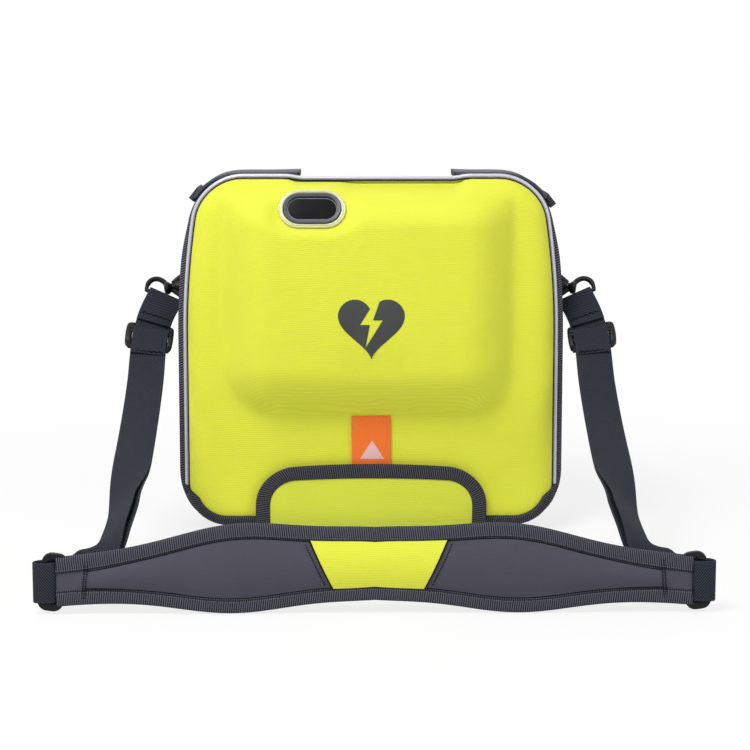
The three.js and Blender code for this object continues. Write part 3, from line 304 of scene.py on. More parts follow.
FOIL = glossy("pouch_foil", rgb(208, 212, 216), 0.3)
PRINT = moulded("dark_print", rgb(56, 58, 58), rgb(66, 68, 68), 0.75)
PALE = moulded("pale_print", rgb(226, 178, 182), rgb(238, 200, 204), 0.7)
THREAD = moulded("dark_thread", rgb(14, 14, 18), rgb(26, 26, 32), 0.8, Specular_IOR_Level=0.15)


def silver_cord():
    """Silver reflective piping: satin, with a fine weave along it."""
    f = Finish("silver_piping", rgb(196, 196, 210), 0.34, "UV", Metallic=0.35, Sheen_Weight=0.2)
    u, v, _ = f.axes
    weave = f.times(f.wave(u, 0.9), f.wave(v, 0.9))
    return f.tint(weave, rgb(150, 150, 165), 0.25).raise_by(weave, 0.00005).done(0.7)


def milky():
    """Translucent ring of the window; its base colour is painted yellow for the cover's light coming through
    it.
    """
    f = Finish("milky_ring", rgb(206, 208, 158), 0.3, Coat_Weight=0.4, Subsurface_Weight=0.25,
               Subsurface_Radius=(0.002, 0.002, 0.001))
    return f.mottle(80, 0.3, rgb(178, 184, 120)).raise_by(f.noise(700), 0.00003).done(0.5)


def pad_cloth():
    """Brushed nylon of the pad: plain weave, slow shading and faint creases."""
    f = Finish("pad_cloth", rgb(80, 78, 90), 0.78, Sheen_Weight=0.06, Sheen_Roughness=0.4,
               Specular_IOR_Level=0.2)
    x, _, z = f.axes
    weave = f.times(f.wave(x, 0.0011), f.wave(z, 0.0011))
    f.mottle(16, 0.45, rgb(64, 62, 73)).mottle(700, 0.25, rgb(58, 56, 66), 1.0)
    f.tint(weave, rgb(60, 58, 68), 0.2)
    return f.raise_by(weave, 0.00005).raise_by(f.noise(30, 3.0, (1.0, 1.0, 3.0)), 0.0007).done(0.7)


def strip_finish():
    """Dark coated cloth with a stitch line near its edges, for the top strips."""
    f = Finish("strip_cloth", rgb(68, 68, 78), 0.7, "UV", Specular_IOR_Level=0.3)
    u, v, _ = f.axes
    weave = f.times(f.wave(u, 0.8), f.wave(v, 0.8))
    row = stitches(f, 3.5, 3.0)
    f.tint(weave, rgb(50, 51, 58), 0.3).tint(row, rgb(104, 106, 116), 0.6)
    return f.raise_by(weave, 0.00006).raise_by(row, 0.0002).done(0.8)


SILVER, MILKY, PAD_CLOTH, DARK_STRIP = silver_cord(), milky(), pad_cloth(), strip_finish()
BEAD = moulded("bead_plastic", rgb(124, 124, 132), rgb(140, 140, 148), 0.3)

# The material slot of each finish, unless a piece names its own
SLOTS = {
    HIVIS: "hivis_fabric", HIVIS_FLAP_SHADED: "hivis_fabric", DARK: "dark_shell", DARK_STRIP: "dark_shell",
    TAPE: "binding_tape", PAD_TAPE: "binding_tape", RIM: "binding_tape", WEBBING: "strap_webbing",
    ORANGE: "orange_webbing", BLACK: "black_plastic", RUBBER: "base_rubber", GREY: "grey_plastic",
    METAL: "ring_metal", SMOKE: "window_clear", SILVER: "silver_piping", MILKY: "milky_plastic",
    PAD_CLOTH: "pad_fabric",
}


# Meshes


def piece(name, points, faces, material, body, replaces=(), uvs=None, sharp=40, slot=None, inside=None):
    """Makes a mesh from points in millimetres and gives it to a CAD body; given two bodies, it only bakes the
    mesh in place.
    """
    obj = bare(name, points, faces, uvs)
    mesh = obj.data
    mesh.materials.append(material)
    if inside:
        mesh.materials.append(inside)
    mesh.polygons.foreach_set("use_smooth", [True] * len(mesh.polygons))
    mesh.set_sharp_from_angle(angle=deg(sharp))
    if isinstance(body, tuple):
        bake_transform(obj)
    else:
        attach(obj, body)
    if replaces:
        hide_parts(*replaces)
    slot = slot or SLOTS.get(material)
    return obj


def bare(name, points, faces, uvs=None):
    """An object from points in millimetres, its faces turned outward, with no finish."""
    mesh = bpy.data.meshes.new(name)
    mesh.from_pydata([tuple(c * MM for c in p) for p in points], [], faces)
    if uvs:
        layer = mesh.uv_layers.new(name="UVMap")
        for corner, uv in zip(layer.data, (uv for face in uvs for uv in face)):
            corner.uv = uv
    bm = bmesh.new()
    bm.from_mesh(mesh)
    bmesh.ops.recalc_face_normals(bm, faces=bm.faces)
    bm.to_mesh(mesh)
    bm.free()
    obj = bpy.data.objects.new(name, mesh)
    bpy.context.scene.collection.objects.link(obj)
    bpy.context.view_layer.update()
    return obj


def skinned(name, rings, material, body, replaces=(), closed=False, **kept):
    """A piece over rings, without UVs."""
    return piece(name, *loft(rings, closed)[:2], material, body, replaces, **kept)


def flipped(points, sign):
    """Points of the right-hand side, mirrored for the left where the sign is -1."""
    return [(sign * x, y, z) for x, y, z in points]


def on_side(side, sign, name, parts, material, body, replaced=""):
    """A piece of (rings, closed) parts, drawn for the right-hand side. {} in a name is the side."""
    lofts = [loft([flipped(ring, sign) for ring in rings], closed) for rings, closed in parts]
    replaces = (replaced.format(side),) if replaced else ()
    piece(name.format(side), *merged(*lofts), material, body.format(side), replaces)


def pair(*told):
    """The right-hand and the left-hand copy of a piece."""
    for side, sign in SIDES:
        on_side(side, sign, *told)


def merged(*lofts):
    """Several lofts as one list of points and faces."""
    points, faces = [], []
    for p, f, _ in lofts:
        base = len(points)
        points += p
        faces += [tuple(v + base for v in face) for face in f]
    return points, faces


def run_of(points):
    """The length run at each point of a path."""
    run = [0.0]
    for a, b in zip(points, points[1:]):
        run.append(run[-1] + (Vector(b) - Vector(a)).length)
    return run


def strip_uvs(faces, along, across):
    """UVs of lofted faces, from the length run at each ring and the distance across at each of its points."""
    n = len(across)
    return [[(along[v // n], across[v % n]) for v in face] for face in faces]


def loft(rings, closed=False, caps=True):
    """Points, faces and UVs of a skin over rings of equal count. U runs along the rings, V round each."""
    n = len(rings[0])
    points = [p for ring in rings for p in ring]
    middle = rings[len(rings) // 2]
    around = run_of([*middle, middle[0]])
    centres = [sum((Vector(p) for p in ring), Vector()) / n for ring in rings]
    along = run_of([*centres, centres[0]])
    faces, uvs = [], []
    for i in range(len(rings) if closed else len(rings) - 1):
        j = (i + 1) % len(rings)
        for k in range(n):
            m = (k + 1) % n
            faces.append((i * n + k, i * n + m, j * n + m, j * n + k))
            uvs.append([(along[i], around[k]), (along[i], around[k + 1]),
                        (along[i + 1], around[k + 1]), (along[i + 1], around[k])])
    if caps and not closed:
        for base, u in ((0, along[0]), ((len(rings) - 1) * n, along[-2])):
            faces.append(tuple(range(base, base + n)))
            uvs.append([(u, around[k]) for k in range(n)])
    return points, faces, uvs


def sweep(path, section, wide_at, closed=False):
    """Rings of a section [(across, up)] along a path with a width direction at each point."""
    rings = []
    last = len(path) - 1
    for i, p in enumerate(path):
        before = path[i - 1 if i else (last if closed else 0)]
        after = path[i + 1 if i < last else (0 if closed else last)]
        t = (Vector(after) - Vector(before)).normalized()
        w = Vector(wide_at(i))
        w = (w - t * w.dot(t)).normalized()
        up = t.cross(w)
        size = section(i) if callable(section) else section
        rings.append([Vector(p) + w * a + up * b for a, b in size])
    return rings


def circle(r, sides):
    return arc(0, 0, r, 0, 360, sides)[:-1]


def round_box(w, h, r, steps):
    """Outline of a box of the half sizes w and h with round corners."""
    ring = []
    for cx, cy, start in ((w - r, r - h, -90), (w - r, h - r, 0), (r - w, h - r, 90), (r - w, r - h, 180)):
        ring += arc(cx, cy, r, start, start + 90, steps)
    return ring


def band(width, t):
    """Section of a flat webbing with rounded edges."""
    w, h, e = width / 2, t / 2, t * 0.35
    return [(-w, 0), (-w + e * 0.4, -h * 0.8), (-w + e * 1.6, -h), (w - e * 1.6, -h), (w - e * 0.4, -h * 0.8),
            (w, 0), (w - e * 0.4, h * 0.8), (w - e * 1.6, h), (-w + e * 1.6, h), (-w + e * 0.4, h * 0.8)]


def tube(name, path, r, material, body, replaces=(), sides=14, closed=False, normal=(0, 0, 1)):
    """A round cord or wire along a path; r is its radius, or a list with one for each point."""
    section = (lambda i: circle(r[i], sides)) if isinstance(r, list) else circle(r, sides)
    points, faces, uvs = loft(sweep(path, section, lambda i: normal, closed), closed)
    return piece(name, points, faces, material, body, replaces, uvs)


def ribbon(name, path, wides, width, t, material, body, replaces=()):
    """Flat webbing along a path. V runs from 0 to its width on both faces."""
    section = band(width, t)
    points, faces, _ = loft(sweep(path, section, lambda i: wides[i]))
    uvs = strip_uvs(faces, run_of(path), [a + width / 2 for a, _ in section])
    return piece(name, points, faces, material, body, replaces, uvs, 60)


def refine(points, times=4, closed=False):
    """Catmull-Rom points through the given ones."""
    pts = [Vector(p) for p in points]
    n = len(pts)
    out = []
    for i in range(n if closed else n - 1):
        p0 = pts[(i - 1) % n] if closed or i else pts[0] * 2 - pts[1]
        p1, p2 = pts[i], pts[(i + 1) % n]
        p3 = pts[(i + 2) % n] if closed or i + 2 < n else pts[-1] * 2 - pts[-2]
        for j in range(times):
            t = j / times
            out.append(0.5 * ((2 * p1) + (p2 - p0) * t + (2 * p0 - 5 * p1 + 4 * p2 - p3) * t * t
                              + (3 * p1 - p0 - 3 * p2 + p3) * t ** 3))
    if not closed:
        out.append(pts[-1])
    return out


def lathe(profile, sides):
    """Rings of a profile [(radius, height)] round the Z axis."""
    return [[Vector((x, y, h)) for x, y in circle(r, sides)] for r, h in profile]


def place(rings, matrix):
    return [[matrix @ Vector(p) for p in ring] for ring in rings]


def cut(obj, *tools):
    """Cuts other meshes out of a piece and removes them."""
    for tool in tools:
        modifier = obj.modifiers.new("cut", "BOOLEAN")
        modifier.operation, modifier.object, modifier.solver = "DIFFERENCE", tool, "EXACT"
    bake(obj)
    for tool in tools:
        bpy.data.objects.remove(tool)
    obj.data.set_sharp_from_angle(angle=deg(35))
    return obj


def bake(obj):
    """Applies the modifiers of a piece."""
    graph = bpy.context.evaluated_depsgraph_get()
    mesh = bpy.data.meshes.new_from_object(obj.evaluated_get(graph))
    obj.modifiers.clear()
    obj.data = mesh


def soften(obj, width, segments):
    """Rounds the sharp edges of a cutter."""
    modifier = obj.modifiers.new("round", "BEVEL")
    modifier.width, modifier.segments, modifier.limit_method = width * MM, segments, "ANGLE"
    modifier.angle_limit = deg(30)
    modifier.harden_normals = False
    bake(obj)


def box_mesh(x0, x1, y0, y1, z0, z1):
    points = [(x, y, z) for z in (z0, z1) for x, y in ((x0, y0), (x1, y0), (x1, y1), (x0, y1))]
    return points, [(0, 3, 2, 1), (4, 5, 6, 7), (0, 1, 5, 4), (1, 2, 6, 5), (2, 3, 7, 6), (3, 0, 4, 7)]


# Outline of the case


def lean(z):
    over = max(z - LEAN_FROM, 0)
    return LEAN_R - math.sqrt(LEAN_R * LEAN_R - over * over)


CORNER_STEPS, FLANK_STEPS, EDGE_STEPS = 12, 40, 44


def outline(inset, y, side=0.0):
    """The case seen from the front, as a ring of points at an inset."""

    def half(z):
        return CASE_HALF - side - inset - lean(z)

    r = max(CORNER_R - inset, MIN_R)
    low, high = CASE_BOTTOM + inset + r, CASE_TOP - inset - r
    sag = (DIP + REAR_DIP * smooth((y - FACE_Y) / 44)) * (1 - smooth(inset / 36))
    right = []
    for x, z in arc(half(low) - r, low, r, -90, 0, CORNER_STEPS):
        right.append((x, y, z))
    right += [(half(z), y, z) for z in spaced(low, high, FLANK_STEPS)[1:-1]]
    for x, z in arc(-r, high, r, 0, 90, CORNER_STEPS):
        right.append((half(z) + x, y, z))
    left = [(-x, y_, z) for x, y_, z in reversed(right)]

    def span(a, b):
        return [tuple(lerp(p, q, i / EDGE_STEPS) for p, q in zip(a, b)) for i in range(1, EDGE_STEPS)]

    def sunk(x):
        return sag * smooth((x + 64) / 12) * smooth((74 - x) / 12)

    over = [(x, y_, z - sunk(x)) for x, y_, z in span(right[-1], left[0])]
    return right + over + left + span(left[-1], right[0])


def stadium_distance(x, z, long, high):
    """Distance from the edge of a stadium round the origin, negative inside."""
    return math.hypot(max(abs(x) - (long - high) / 2, 0), z) - high / 2


def ease(t):
    """Rises from a soft crease at 0 and levels off at 1."""
    t = clamp((t + math.hypot(t, 0.07)) / 2)
    return t * (2 - t)


def cover_y(x, z, inset):
    """How far the front of the cover stands at x, z."""
    edge = EDGE_RISE * math.sqrt(1 - (1 - clamp(inset / EDGE_IN)) ** 2)
    dx, dz = abs(x - DOME_X) - DOME_HALF + DOME_R, DOME_LOW + DOME_R - z
    away = math.hypot(max(dx, 0), max(dz, 0)) + min(max(dx, dz), 0) - DOME_R
    y = FACE_Y - edge - DOME_RISE * ease(-away / DOME_BLEND) * ease((DOME_TOP - z) / DOME_TOP_RUN)
    seat = WINDOW.y + math.tan(WINDOW_TILT) * (z - WINDOW.z)
    gap = stadium_distance(x - WINDOW.x, (z - WINDOW.z) / math.cos(WINDOW_TILT), RING_LONG + 1, RING_HIGH + 1)
    return lerp(y, seat, (1 - smooth(gap / 12)) * smooth((CASE_TOP - z) / 9)) if gap < 12 else y


EDGE_INSETS = [EDGE_IN * (1 - math.cos(deg(a))) for a in (8, 16, 25, 34, 43, 52, 61, 70, 80, 90)]
FACE_INSETS = EDGE_INSETS + [EDGE_IN + 2.6 * i for i in range(1, 40)]


def skin(insets, back):
    """Rings over the front of the cover, this far behind its outside."""
    return [[(x, cover_y(x, z, inset) + back, z) for x, _, z in outline(inset, 0)] for inset in insets]


window_frame = Matrix.Translation(WINDOW) @ Matrix.Rotation(deg(90) - WINDOW_TILT, 4, "X")


def stadium(long, high, level, steps=14):
    """A ring of points of a stadium in the plane of the window."""
    r, c = high / 2, (long - high) / 2
    flat = arc(c, 0, r, -90, 90, steps) + arc(-c, 0, r, 90, 270, steps)
    return [window_frame @ Vector((x, y, level)) for x, y in flat]


def front_cover():
    """Moulded cover: hi-vis outside, dark lining inside, hole for the window."""
    edge = RIM_FRONT - 0.6
    outer = [outline(0.4, edge), outline(0.1, FACE_Y + 0.6), outline(0, FACE_Y)] + skin(FACE_INSETS, 0)
    deep = [inset for inset in FACE_INSETS if inset > WALL + 1]
    inner = [outline(WALL, edge), outline(WALL, FACE_Y + 1)] + skin(deep, WALL)
    a, fa, _ = loft(outer, caps=False)
    b, fb, _ = loft(inner, caps=False)
    shift, n = len(a), len(outer[0])
    faces = fa + [tuple(v + shift for v in face) for face in fb]
    rim = [(k, (k + 1) % n, shift + (k + 1) % n, shift + k) for k in range(n)]
    caps = [tuple(range(end - n, end)) for end in (shift, shift + len(b))]
    obj = piece("moulded_cover", a + b, faces + rim + caps, HIVIS, "cover", ("front_cover",), None, 50,
                inside=LINING)
    last = len(obj.data.polygons) - 1
    for i, polygon in enumerate(obj.data.polygons):
        polygon.material_index = int(len(fa) <= i < len(faces) + len(rim) or i == last)
    hole = bare("window_cutter", *loft([stadium(HOLE_LONG, HOLE_HIGH, level) for level in (-25, 12)])[:2])
    return cut(obj, hole)


def ring_piece(name, levels, material, replaces=(), closed=True):
    """A ring or plate of stadium shape on the cover, from (length, height, level) steps."""
    rings = [stadium(long, high, level, 20) for long, high, level in levels]
    return skinned(name, rings, material, "cover", replaces, closed)


def window():
    """Milky seat ring, grey frame with a bead, and the dark pane."""

    def seat(t, level):
        return lerp(HOLE_LONG + 0.2, RING_LONG, t), lerp(HOLE_HIGH + 0.2, RING_HIGH, t), level

    def bezel(d, level):
        return 42.8 - 2 * d, 24.2 - 2 * d, level

    def bead(a):
        return 36.7 + 0.7 * math.cos(a), 17.2 + 0.7 * math.cos(a), 0.6 + 0.35 * math.sin(a)

    steps = [(0, 0.4), (0, 1.6), (0.08, 2.2), (0.3, 2.5), (0.55, 2.3), (0.62, 1.9), (0.7, 2.0), (0.88, 1.9),
             (0.97, 1.4), (1, 0.8), (1, 0.4)]
    ring_piece("window_seat_ring", [seat(*step) for step in steps], MILKY, ("window_ring",))
    steps = [(0, -3.1), (0, 2.6), (0.2, 3.2), (0.6, 3.5), (1.1, 3.4), (1.3, 3.0), (1.6, 2.9), (1.9, 3.1),
             (2.3, 3.0), (2.5, 2.5), (2.6, 0.5), (2.6, -3.1)]
    ring_piece("window_frame", [bezel(*step) for step in steps], GREY, ("window_bezel",))
    ring_piece("window_bead", [bead(deg(60 * i)) for i in range(6)], BEAD)
    pane = [(37.2, 17.7, -1.0), (37.2, 17.7, 0.1), (36.6, 17.1, 0.5), (20, 6, 0.62)]
    ring_piece("window_glass", pane, SMOKE, ("window_pane",), closed=False)


def gusset():
    """Dark sides of the cover, from the zip to the ribbed rim behind the piping."""
    rear = ZIP_Y - SEAM / 2

    def rim(y, side):
        """A ring of the rim, further out down the flanks than at the top and bottom."""
        more = [RIM_MORE * smooth((z - 24) / 22) * smooth((252 - z) / 44) for _, _, z in outline(0, y, side)]
        return [(x + math.copysign(m, x), y_, z) for m, (x, y_, z) in zip(more, outline(0, y, side))]

    rings = [outline(0, rear, FLANGE_IN), outline(0, RIM_REAR + 1.6, FLANGE_IN), rim(RIM_REAR + 0.9, 0.5),
             rim(RIM_REAR + 0.2, -RIM_OUT + 1.2), rim(RIM_REAR - 0.8, -RIM_OUT + 0.1),
             rim(RIM_REAR - 1.6, -RIM_OUT), rim(RIM_FRONT + 1.2, -RIM_OUT),
             rim(RIM_FRONT + 0.4, -RIM_OUT + 0.5), rim(RIM_FRONT, -RIM_OUT + 1.4),
             outline(0, RIM_FRONT - 0.2, 0.3), outline(WALL, RIM_FRONT - 0.2), outline(WALL, rear)]
    points, faces, _ = loft(rings, closed=True)
    around = run_of([*rings[5], rings[5][0]])
    depth = [0, 4, 6, 8.4, 8.8, 10.3, 16, 17.6, 18, 23, 25, 30, 36]
    uvs = [[(around[k + dk], depth[i + di]) for dk, di in ((0, 0), (1, 0), (1, 1), (0, 1))]
           for i in range(len(rings)) for k in range(len(rings[0]))]
    piece("cover_gusset", points, faces, RIM, "cover", ("front_cover",), uvs)


def piping():
    """Silver piping over the sides and the top, thinning out at both feet, and a near-black band along its
    inner edge: painted shade in the crease.
    """
    foot, radius = 29, 1.62
    ring = outline(-1.7, FACE_Y)
    start = next(i for i, p in enumerate(ring) if p[2] > foot)
    ring = ring[start:] + ring[:start]
    path = ring[: next(i for i, p in enumerate(ring) if p[2] < foot)]
    radii = [lerp(0.5, radius, smooth((z - foot) / 9)) for _, _, z in path]
    path = [(x - math.copysign(radius - r, x), y, z) for (x, y, z), r in zip(path, radii)]
    tube("silver_piping", path, radii, SILVER, "cover", ("cover_piping",), 16, normal=(0, 1, 0))
    # A near-black band in the crease between the piping and the face: painted shade.
    steps = ((0.1, 1.4), (-0.4, 1.8), (0.3, 3.4), (0.6, 3.2))
    seam = [outline(inset, FACE_Y - proud) for inset, proud in steps]
    skinned("piping_crease_shade", seam, THREAD, "cover", closed=True)


def edge_tape():
    """Ribbed binding over the lower edge of the cover, narrowing to nothing where the piping starts."""
    steps, highest = [0, 14, 28, 42, 55], 39
    flat = outline(0, 0)
    used = [i for i, p in enumerate(flat) if p[2] < highest]
    start = next(k for k in range(1, len(used)) if used[k] - used[k - 1] > 1)
    sections = []
    for i in used[start:] + used[:start]:
        fade = smooth((highest - flat[i][2]) / 13)
        near, far = [], []
        for a in [None] + steps:
            turn = deg(a * fade) if a is not None else 0
            inset, y = EDGE_IN * (1 - math.cos(turn)), FACE_Y - EDGE_RISE * math.sin(turn)
            if a is None:
                y = RIM_FRONT - 1
            near.append(outline(inset - 0.25, y - 0.2)[i])
            far.append(outline(inset - 0.25 - lerp(3.0, 2.0, fade), y - 0.2 - 1.4 * fade)[i])
        sections.append(near + far[::-1])
    points, faces, uvs = loft(sections)
    piece("lower_edge_tape", points, faces, TAPE, "cover", ("cover_binding",), uvs)


def rear_shell():
    """Moulded rear shell with the gap for the handle."""
    flange = ZIP_Y + SEAM / 2 + 6
    seam = ZIP_Y + SEAM / 2
    rings = [outline(26, CASE_BACK - 0.6, SHELL_IN), outline(20, CASE_BACK, SHELL_IN)]
    for i in range(7):
        a = deg(15 * i)
        y = CASE_BACK - BACK_ROUND + BACK_ROUND * math.cos(a)
        rings.append(outline(BACK_ROUND * (1 - math.sin(a)), y, SHELL_IN))
    outside = [(0, flange + 9, SHELL_IN), (0, flange + 7, SHELL_IN - 0.6), (0, flange + 1, FLANGE_IN + 0.8),
               (0, flange, FLANGE_IN), (0, seam, FLANGE_IN)]
    inside = [(WALL, seam), (WALL, CASE_BACK - BACK_ROUND), (BACK_ROUND, CASE_BACK - WALL)]
    rings += [outline(*step) for step in outside] + [outline(inset, y, SHELL_IN) for inset, y in inside]
    obj = skinned("rear_case_shell", rings, DARK, "case", ("rear_shell",))
    gap = bare("handle_gap", *box_mesh(-56, 65, -14, 44, CASE_TOP - WALL - 2, CASE_TOP + 3))
    soften(gap, 4, 4)
    return cut(obj, gap)


def base_plate():
    """Rubber foot with rounded edges and shallow grooves."""
    steps = [(1.6, 0), (0.6, 0.3), (0, 1.4), (0, 2.6), (0.7, 3.0), (0.7, 3.6), (0, 4.0), (0, 6.4), (0.3, 6.7)]
    rings = [[(x, y, z) for x, y in round_box(100 - inset, 44 - inset, 14 - inset, 10)] for inset, z in steps]
    skinned("rubber_base", rings, RUBBER, "case", ("base_plate",))


def hinge_strips():
    """Padded strips over the top, bent down over the corners, each ending in a folded ribbed tab."""
    width, y, z = 52.5, 3.5, CASE_TOP + 1.7
    fold = [(82, 0), (96, 0), (106.5, 0.5), (116, 2.8), (124.5, 7.4), (131.3, 13.4), (135, 18.4)]
    across = [a + width / 2 for a, _ in band(width, 4)]
    for (side, sign), inner, tab in zip(SIDES, (65, 56), ((138.0, y, 253.4), (-134.6, y, 258.0))):
        line = [(inner, 0), (inner + 0.6, 0), *fold]
        path = refine([Vector((sign * x, y, z - down)) for x, down in line], 5)
        thick = [lerp(3.2, 4.6, smooth(i / 2)) for i in range(3)]
        thick += [lerp(4.6, 3.3, smooth(i / 7)) for i in range(len(path) - 6)] + [3.2, 3.0, 2.6]
        points, faces, _ = loft(sweep(path, lambda i: band(width, thick[i]), lambda i: (0, 1, 0)))
        uvs = strip_uvs(faces, [2.2 * i for i in range(len(path))], [min(a, width - a) for a in across])
        piece(f"top_strip_{side}", points, faces, DARK_STRIP, "case", (f"hinge_strip_{side}",), uvs, 60)
        along = Vector((sign * 0.62, 0, -0.78))
        path = [Vector(tab) + along * a for a in spaced(-5, 5, 6)]
        ribbon(f"strip_tab_{side}", path, [(0, 1, 0)] * 7, 49, 5.6, TAPE, "case")


def zips():
    """Zip tape with its rows of teeth on both shells, down the straight part of each side."""
    pitch, low, high, half_tooth = 2.5, 42, 226, 0.62
    for side, sign in SIDES:

        def x(z, off):
            return sign * (137.35 - lean(z) + off)

        for row, towards, body in (("rear", 1, "case"), ("front", -1, "cover")):
            seat = ZIP_Y + towards * 2.7
            rings = []
            for z in spaced(40, 230, 95):
                rings.append([Vector((x(z, off), seat + towards * deep, z))
                              for off, deep in ((0, 0), (0.9, 0), (0.9, 4.4), (0, 4.4))])
            lofts = [loft(rings)]
            z = low + (pitch / 2 if towards < 0 else 0)
            while z <= high:
                y0, y1 = sorted((ZIP_Y + towards * 1.05, seat + towards * 1.2))
                xs = sorted((x(z, 0.1), x(z, 1.5)))
                lofts.append((*box_mesh(*xs, y0, y1, z - half_tooth, z + half_tooth), None))
                z += pitch
            row = f"{row}_{side}"
            piece(f"zip_teeth_{row}", *merged(*lofts), BLACK, body, (f"zip_row_{row}",), slot="binding_tape")


def side_rings():
    """Wire rings that the hooks hold, each in a tab folded round it."""
    ring_r, r, y, z = 12, 4.03, 4, 200
    for side, sign in SIDES:
        path = [(sign * 137, y + a, z + b) for a, b in circle(ring_r, 60)]
        name = f"side_ring_{side}"
        tube(f"side_ring_wire_{side}", path, 1.68, METAL, name, (name,), 16, True, (1, 0, 0))
        line = [(131, 150), (131, 165), (131, 178), (132, 183), *arc(137, z - ring_r, r, 190, -50, 12)]
        line += [(134.1, 179), (132.7, 173), (132.7, 162), (132.7, 150)]
        path = [(sign * across, y, up) for across, up in line]
        wides = [(0, 1, 0)] * len(path)
        ribbon(f"ring_tab_{side}", path, wides, 10, 1.35, WEBBING, "case", (f"side_tab_{side}",))


# Closure flap


# The flap's middle surface, (y, z) from under the cover up to its top edge
FLAP_GUIDE = [(-50.1, 3.9), (-54.3, 6.2), (-57.5, 9.6), (-59.9, 13.6), (-61.3, 18.6), (-61.75, 25),
              (-61.75, 40), (-61.75, 62)]
FLAP_LEVEL = 25.0
FLAP_ARCH = 1.9
flap_line = refine([Vector((0, y, z)) for y, z in FLAP_GUIDE], 6)
flap_run = run_of(flap_line)
FLAP_ROOT = FLAP_LEVEL - flap_run[5 * 6]
FLAP_BLEND = ("cover", "flap", (0, -0.0590, 0.0100), (0, -0.0615, 0.0190))


def flap_at(x, t, off):
    """The point off the flap's middle surface at x and the height t, which runs on round the fold."""
    s = clamp(t - FLAP_ROOT, 0, flap_run[-1] - 0.01)
    i = next(k for k, run in enumerate(flap_run) if run > s)
    a, b = flap_line[i - 1], flap_line[i]
    p = a.lerp(b, (s - flap_run[i - 1]) / (flap_run[i] - flap_run[i - 1]))
    d = (b - a).normalized()
    return Vector((x, p.y - d.z * off, p.z + d.y * off))


def flap_outline(inset):
    """The flap's edge, (x, t), from its right foot over the top to its left foot."""
    w, h, r = FLAP_HALF - inset, FLAP_TOP + 0.5 - inset, FLAP_R - inset
    foot, corner, across = 14, 12, 30
    right = [(w, t) for t in spaced(FLAP_ROOT + 0.2, h - r, foot)[:-1]] + arc(w - r, h - r, r, 0, 90, corner)
    left = [(-x, t) for x, t in reversed(right)]
    top = [(x, h) for x in spaced(right[-1][0], left[0][0], across)[1:-1]]
    return [(x, t - flap_arch(x, t)) for x, t in right + top + left]


def flap_arch(x, t):
    """How much lower the flap's top edge is at x than in the middle."""
    flat = FLAP_HALF - FLAP_R
    return FLAP_ARCH * (min(abs(x), flat) / flat) ** 2 * smooth((t - FLAP_TOP + FLAP_R) / FLAP_R)


def flap():
    """Padded hi-vis flap in one sheet with its sewn root, bent at the fold, and its ribbed binding."""
    half, inset, rows = FLAP_HALF - 1.5, 1.5, 26
    flat = FLAP_HALF - FLAP_R
    sections = []
    for a in spaced(-90, 90, 60):
        x = half * math.sin(deg(a))
        beyond = max(abs(x) - flat, 0)
        top = FLAP_TOP + 0.5 - FLAP_R + math.sqrt(max((FLAP_R - inset) ** 2 - beyond ** 2, 0))
        top -= flap_arch(x, top)
        front, back = [], []
        for t in spaced(FLAP_ROOT + 0.3, top, rows):
            rim = min(half - abs(x), top - t)
            front.append(flap_at(x, t, 1.2 + 1.1 * smooth(rim / 22)))
            back.append(flap_at(x, t, -1.2))
        sections.append(front + back[::-1])
    skinned("flap_panel", sections, HIVIS_FLAP_SHADED, FLAP_BLEND, ("closure_flap", "flap_base"))

    profile = [(0.6, -1.3), (-0.1, -0.9), (-0.4, 0.4), (-0.1, 1.9), (0.6, 2.5), (1.6, 2.65),
               (FLAP_BIND - 1, 2.65), (FLAP_BIND - 0.2, 2.2), (FLAP_BIND, 1.4), (FLAP_BIND - 0.6, -0.9),
               (FLAP_BIND - 1.2, -1.3)]
    rows = [[flap_at(x, t, off) for x, t in flap_outline(inset)] for inset, off in profile]
    sections = [list(ring) for ring in zip(*rows)]
    points, faces, _ = loft(sections)
    along = run_of([flap_at(x, t, 0) for x, t in flap_outline(5)])
    uvs = strip_uvs(faces, along, [inset for inset, _ in profile])
    piece("flap_edge_tape", points, faces, TAPE, FLAP_BLEND, ("flap_binding",), uvs, 50)


def pull_tab():
    """Orange webbing folded into a loop, with a pale arrow."""
    low, high, t, half_gap = FLAP_TOP - 6, 92, 0.8, 0.44
    y = FLAP_FRONT + 0.3 + 0.85
    front, back = y - half_gap, y + half_gap
    run = spaced(low, high - 1.4, 12)
    turns = [deg(a) for a in (20, 50, 90, 130, 160)]
    bend = [(y - half_gap * math.cos(a), high - 1.0 + 0.6 * math.sin(a)) for a in turns]
    line = [(front, z) for z in run] + bend + [(back, z) for z in reversed(run)]
    path = [Vector((0, across, z)) for across, z in line]
    ribbon("pull_tab_webbing", path, [(1, 0, 0)] * len(path), 30, t, ORANGE, "flap", ("pull_tab",))
    base, top, half, cx = 58.8, 73.2, 9.2, 0.7
    middle = (base + top) / 2 - 2

    def triangle(size, level):
        corners = ((-half, base), (half, base), (0, top))
        return [(cx + x * size, front - t / 2 + level, lerp(middle, z, size)) for x, z in corners]

    rings = [triangle(1, 0.1), triangle(1, -0.1), triangle(0.94, -0.2)]
    skinned("pull_tab_arrow", rings, PALE, "flap")


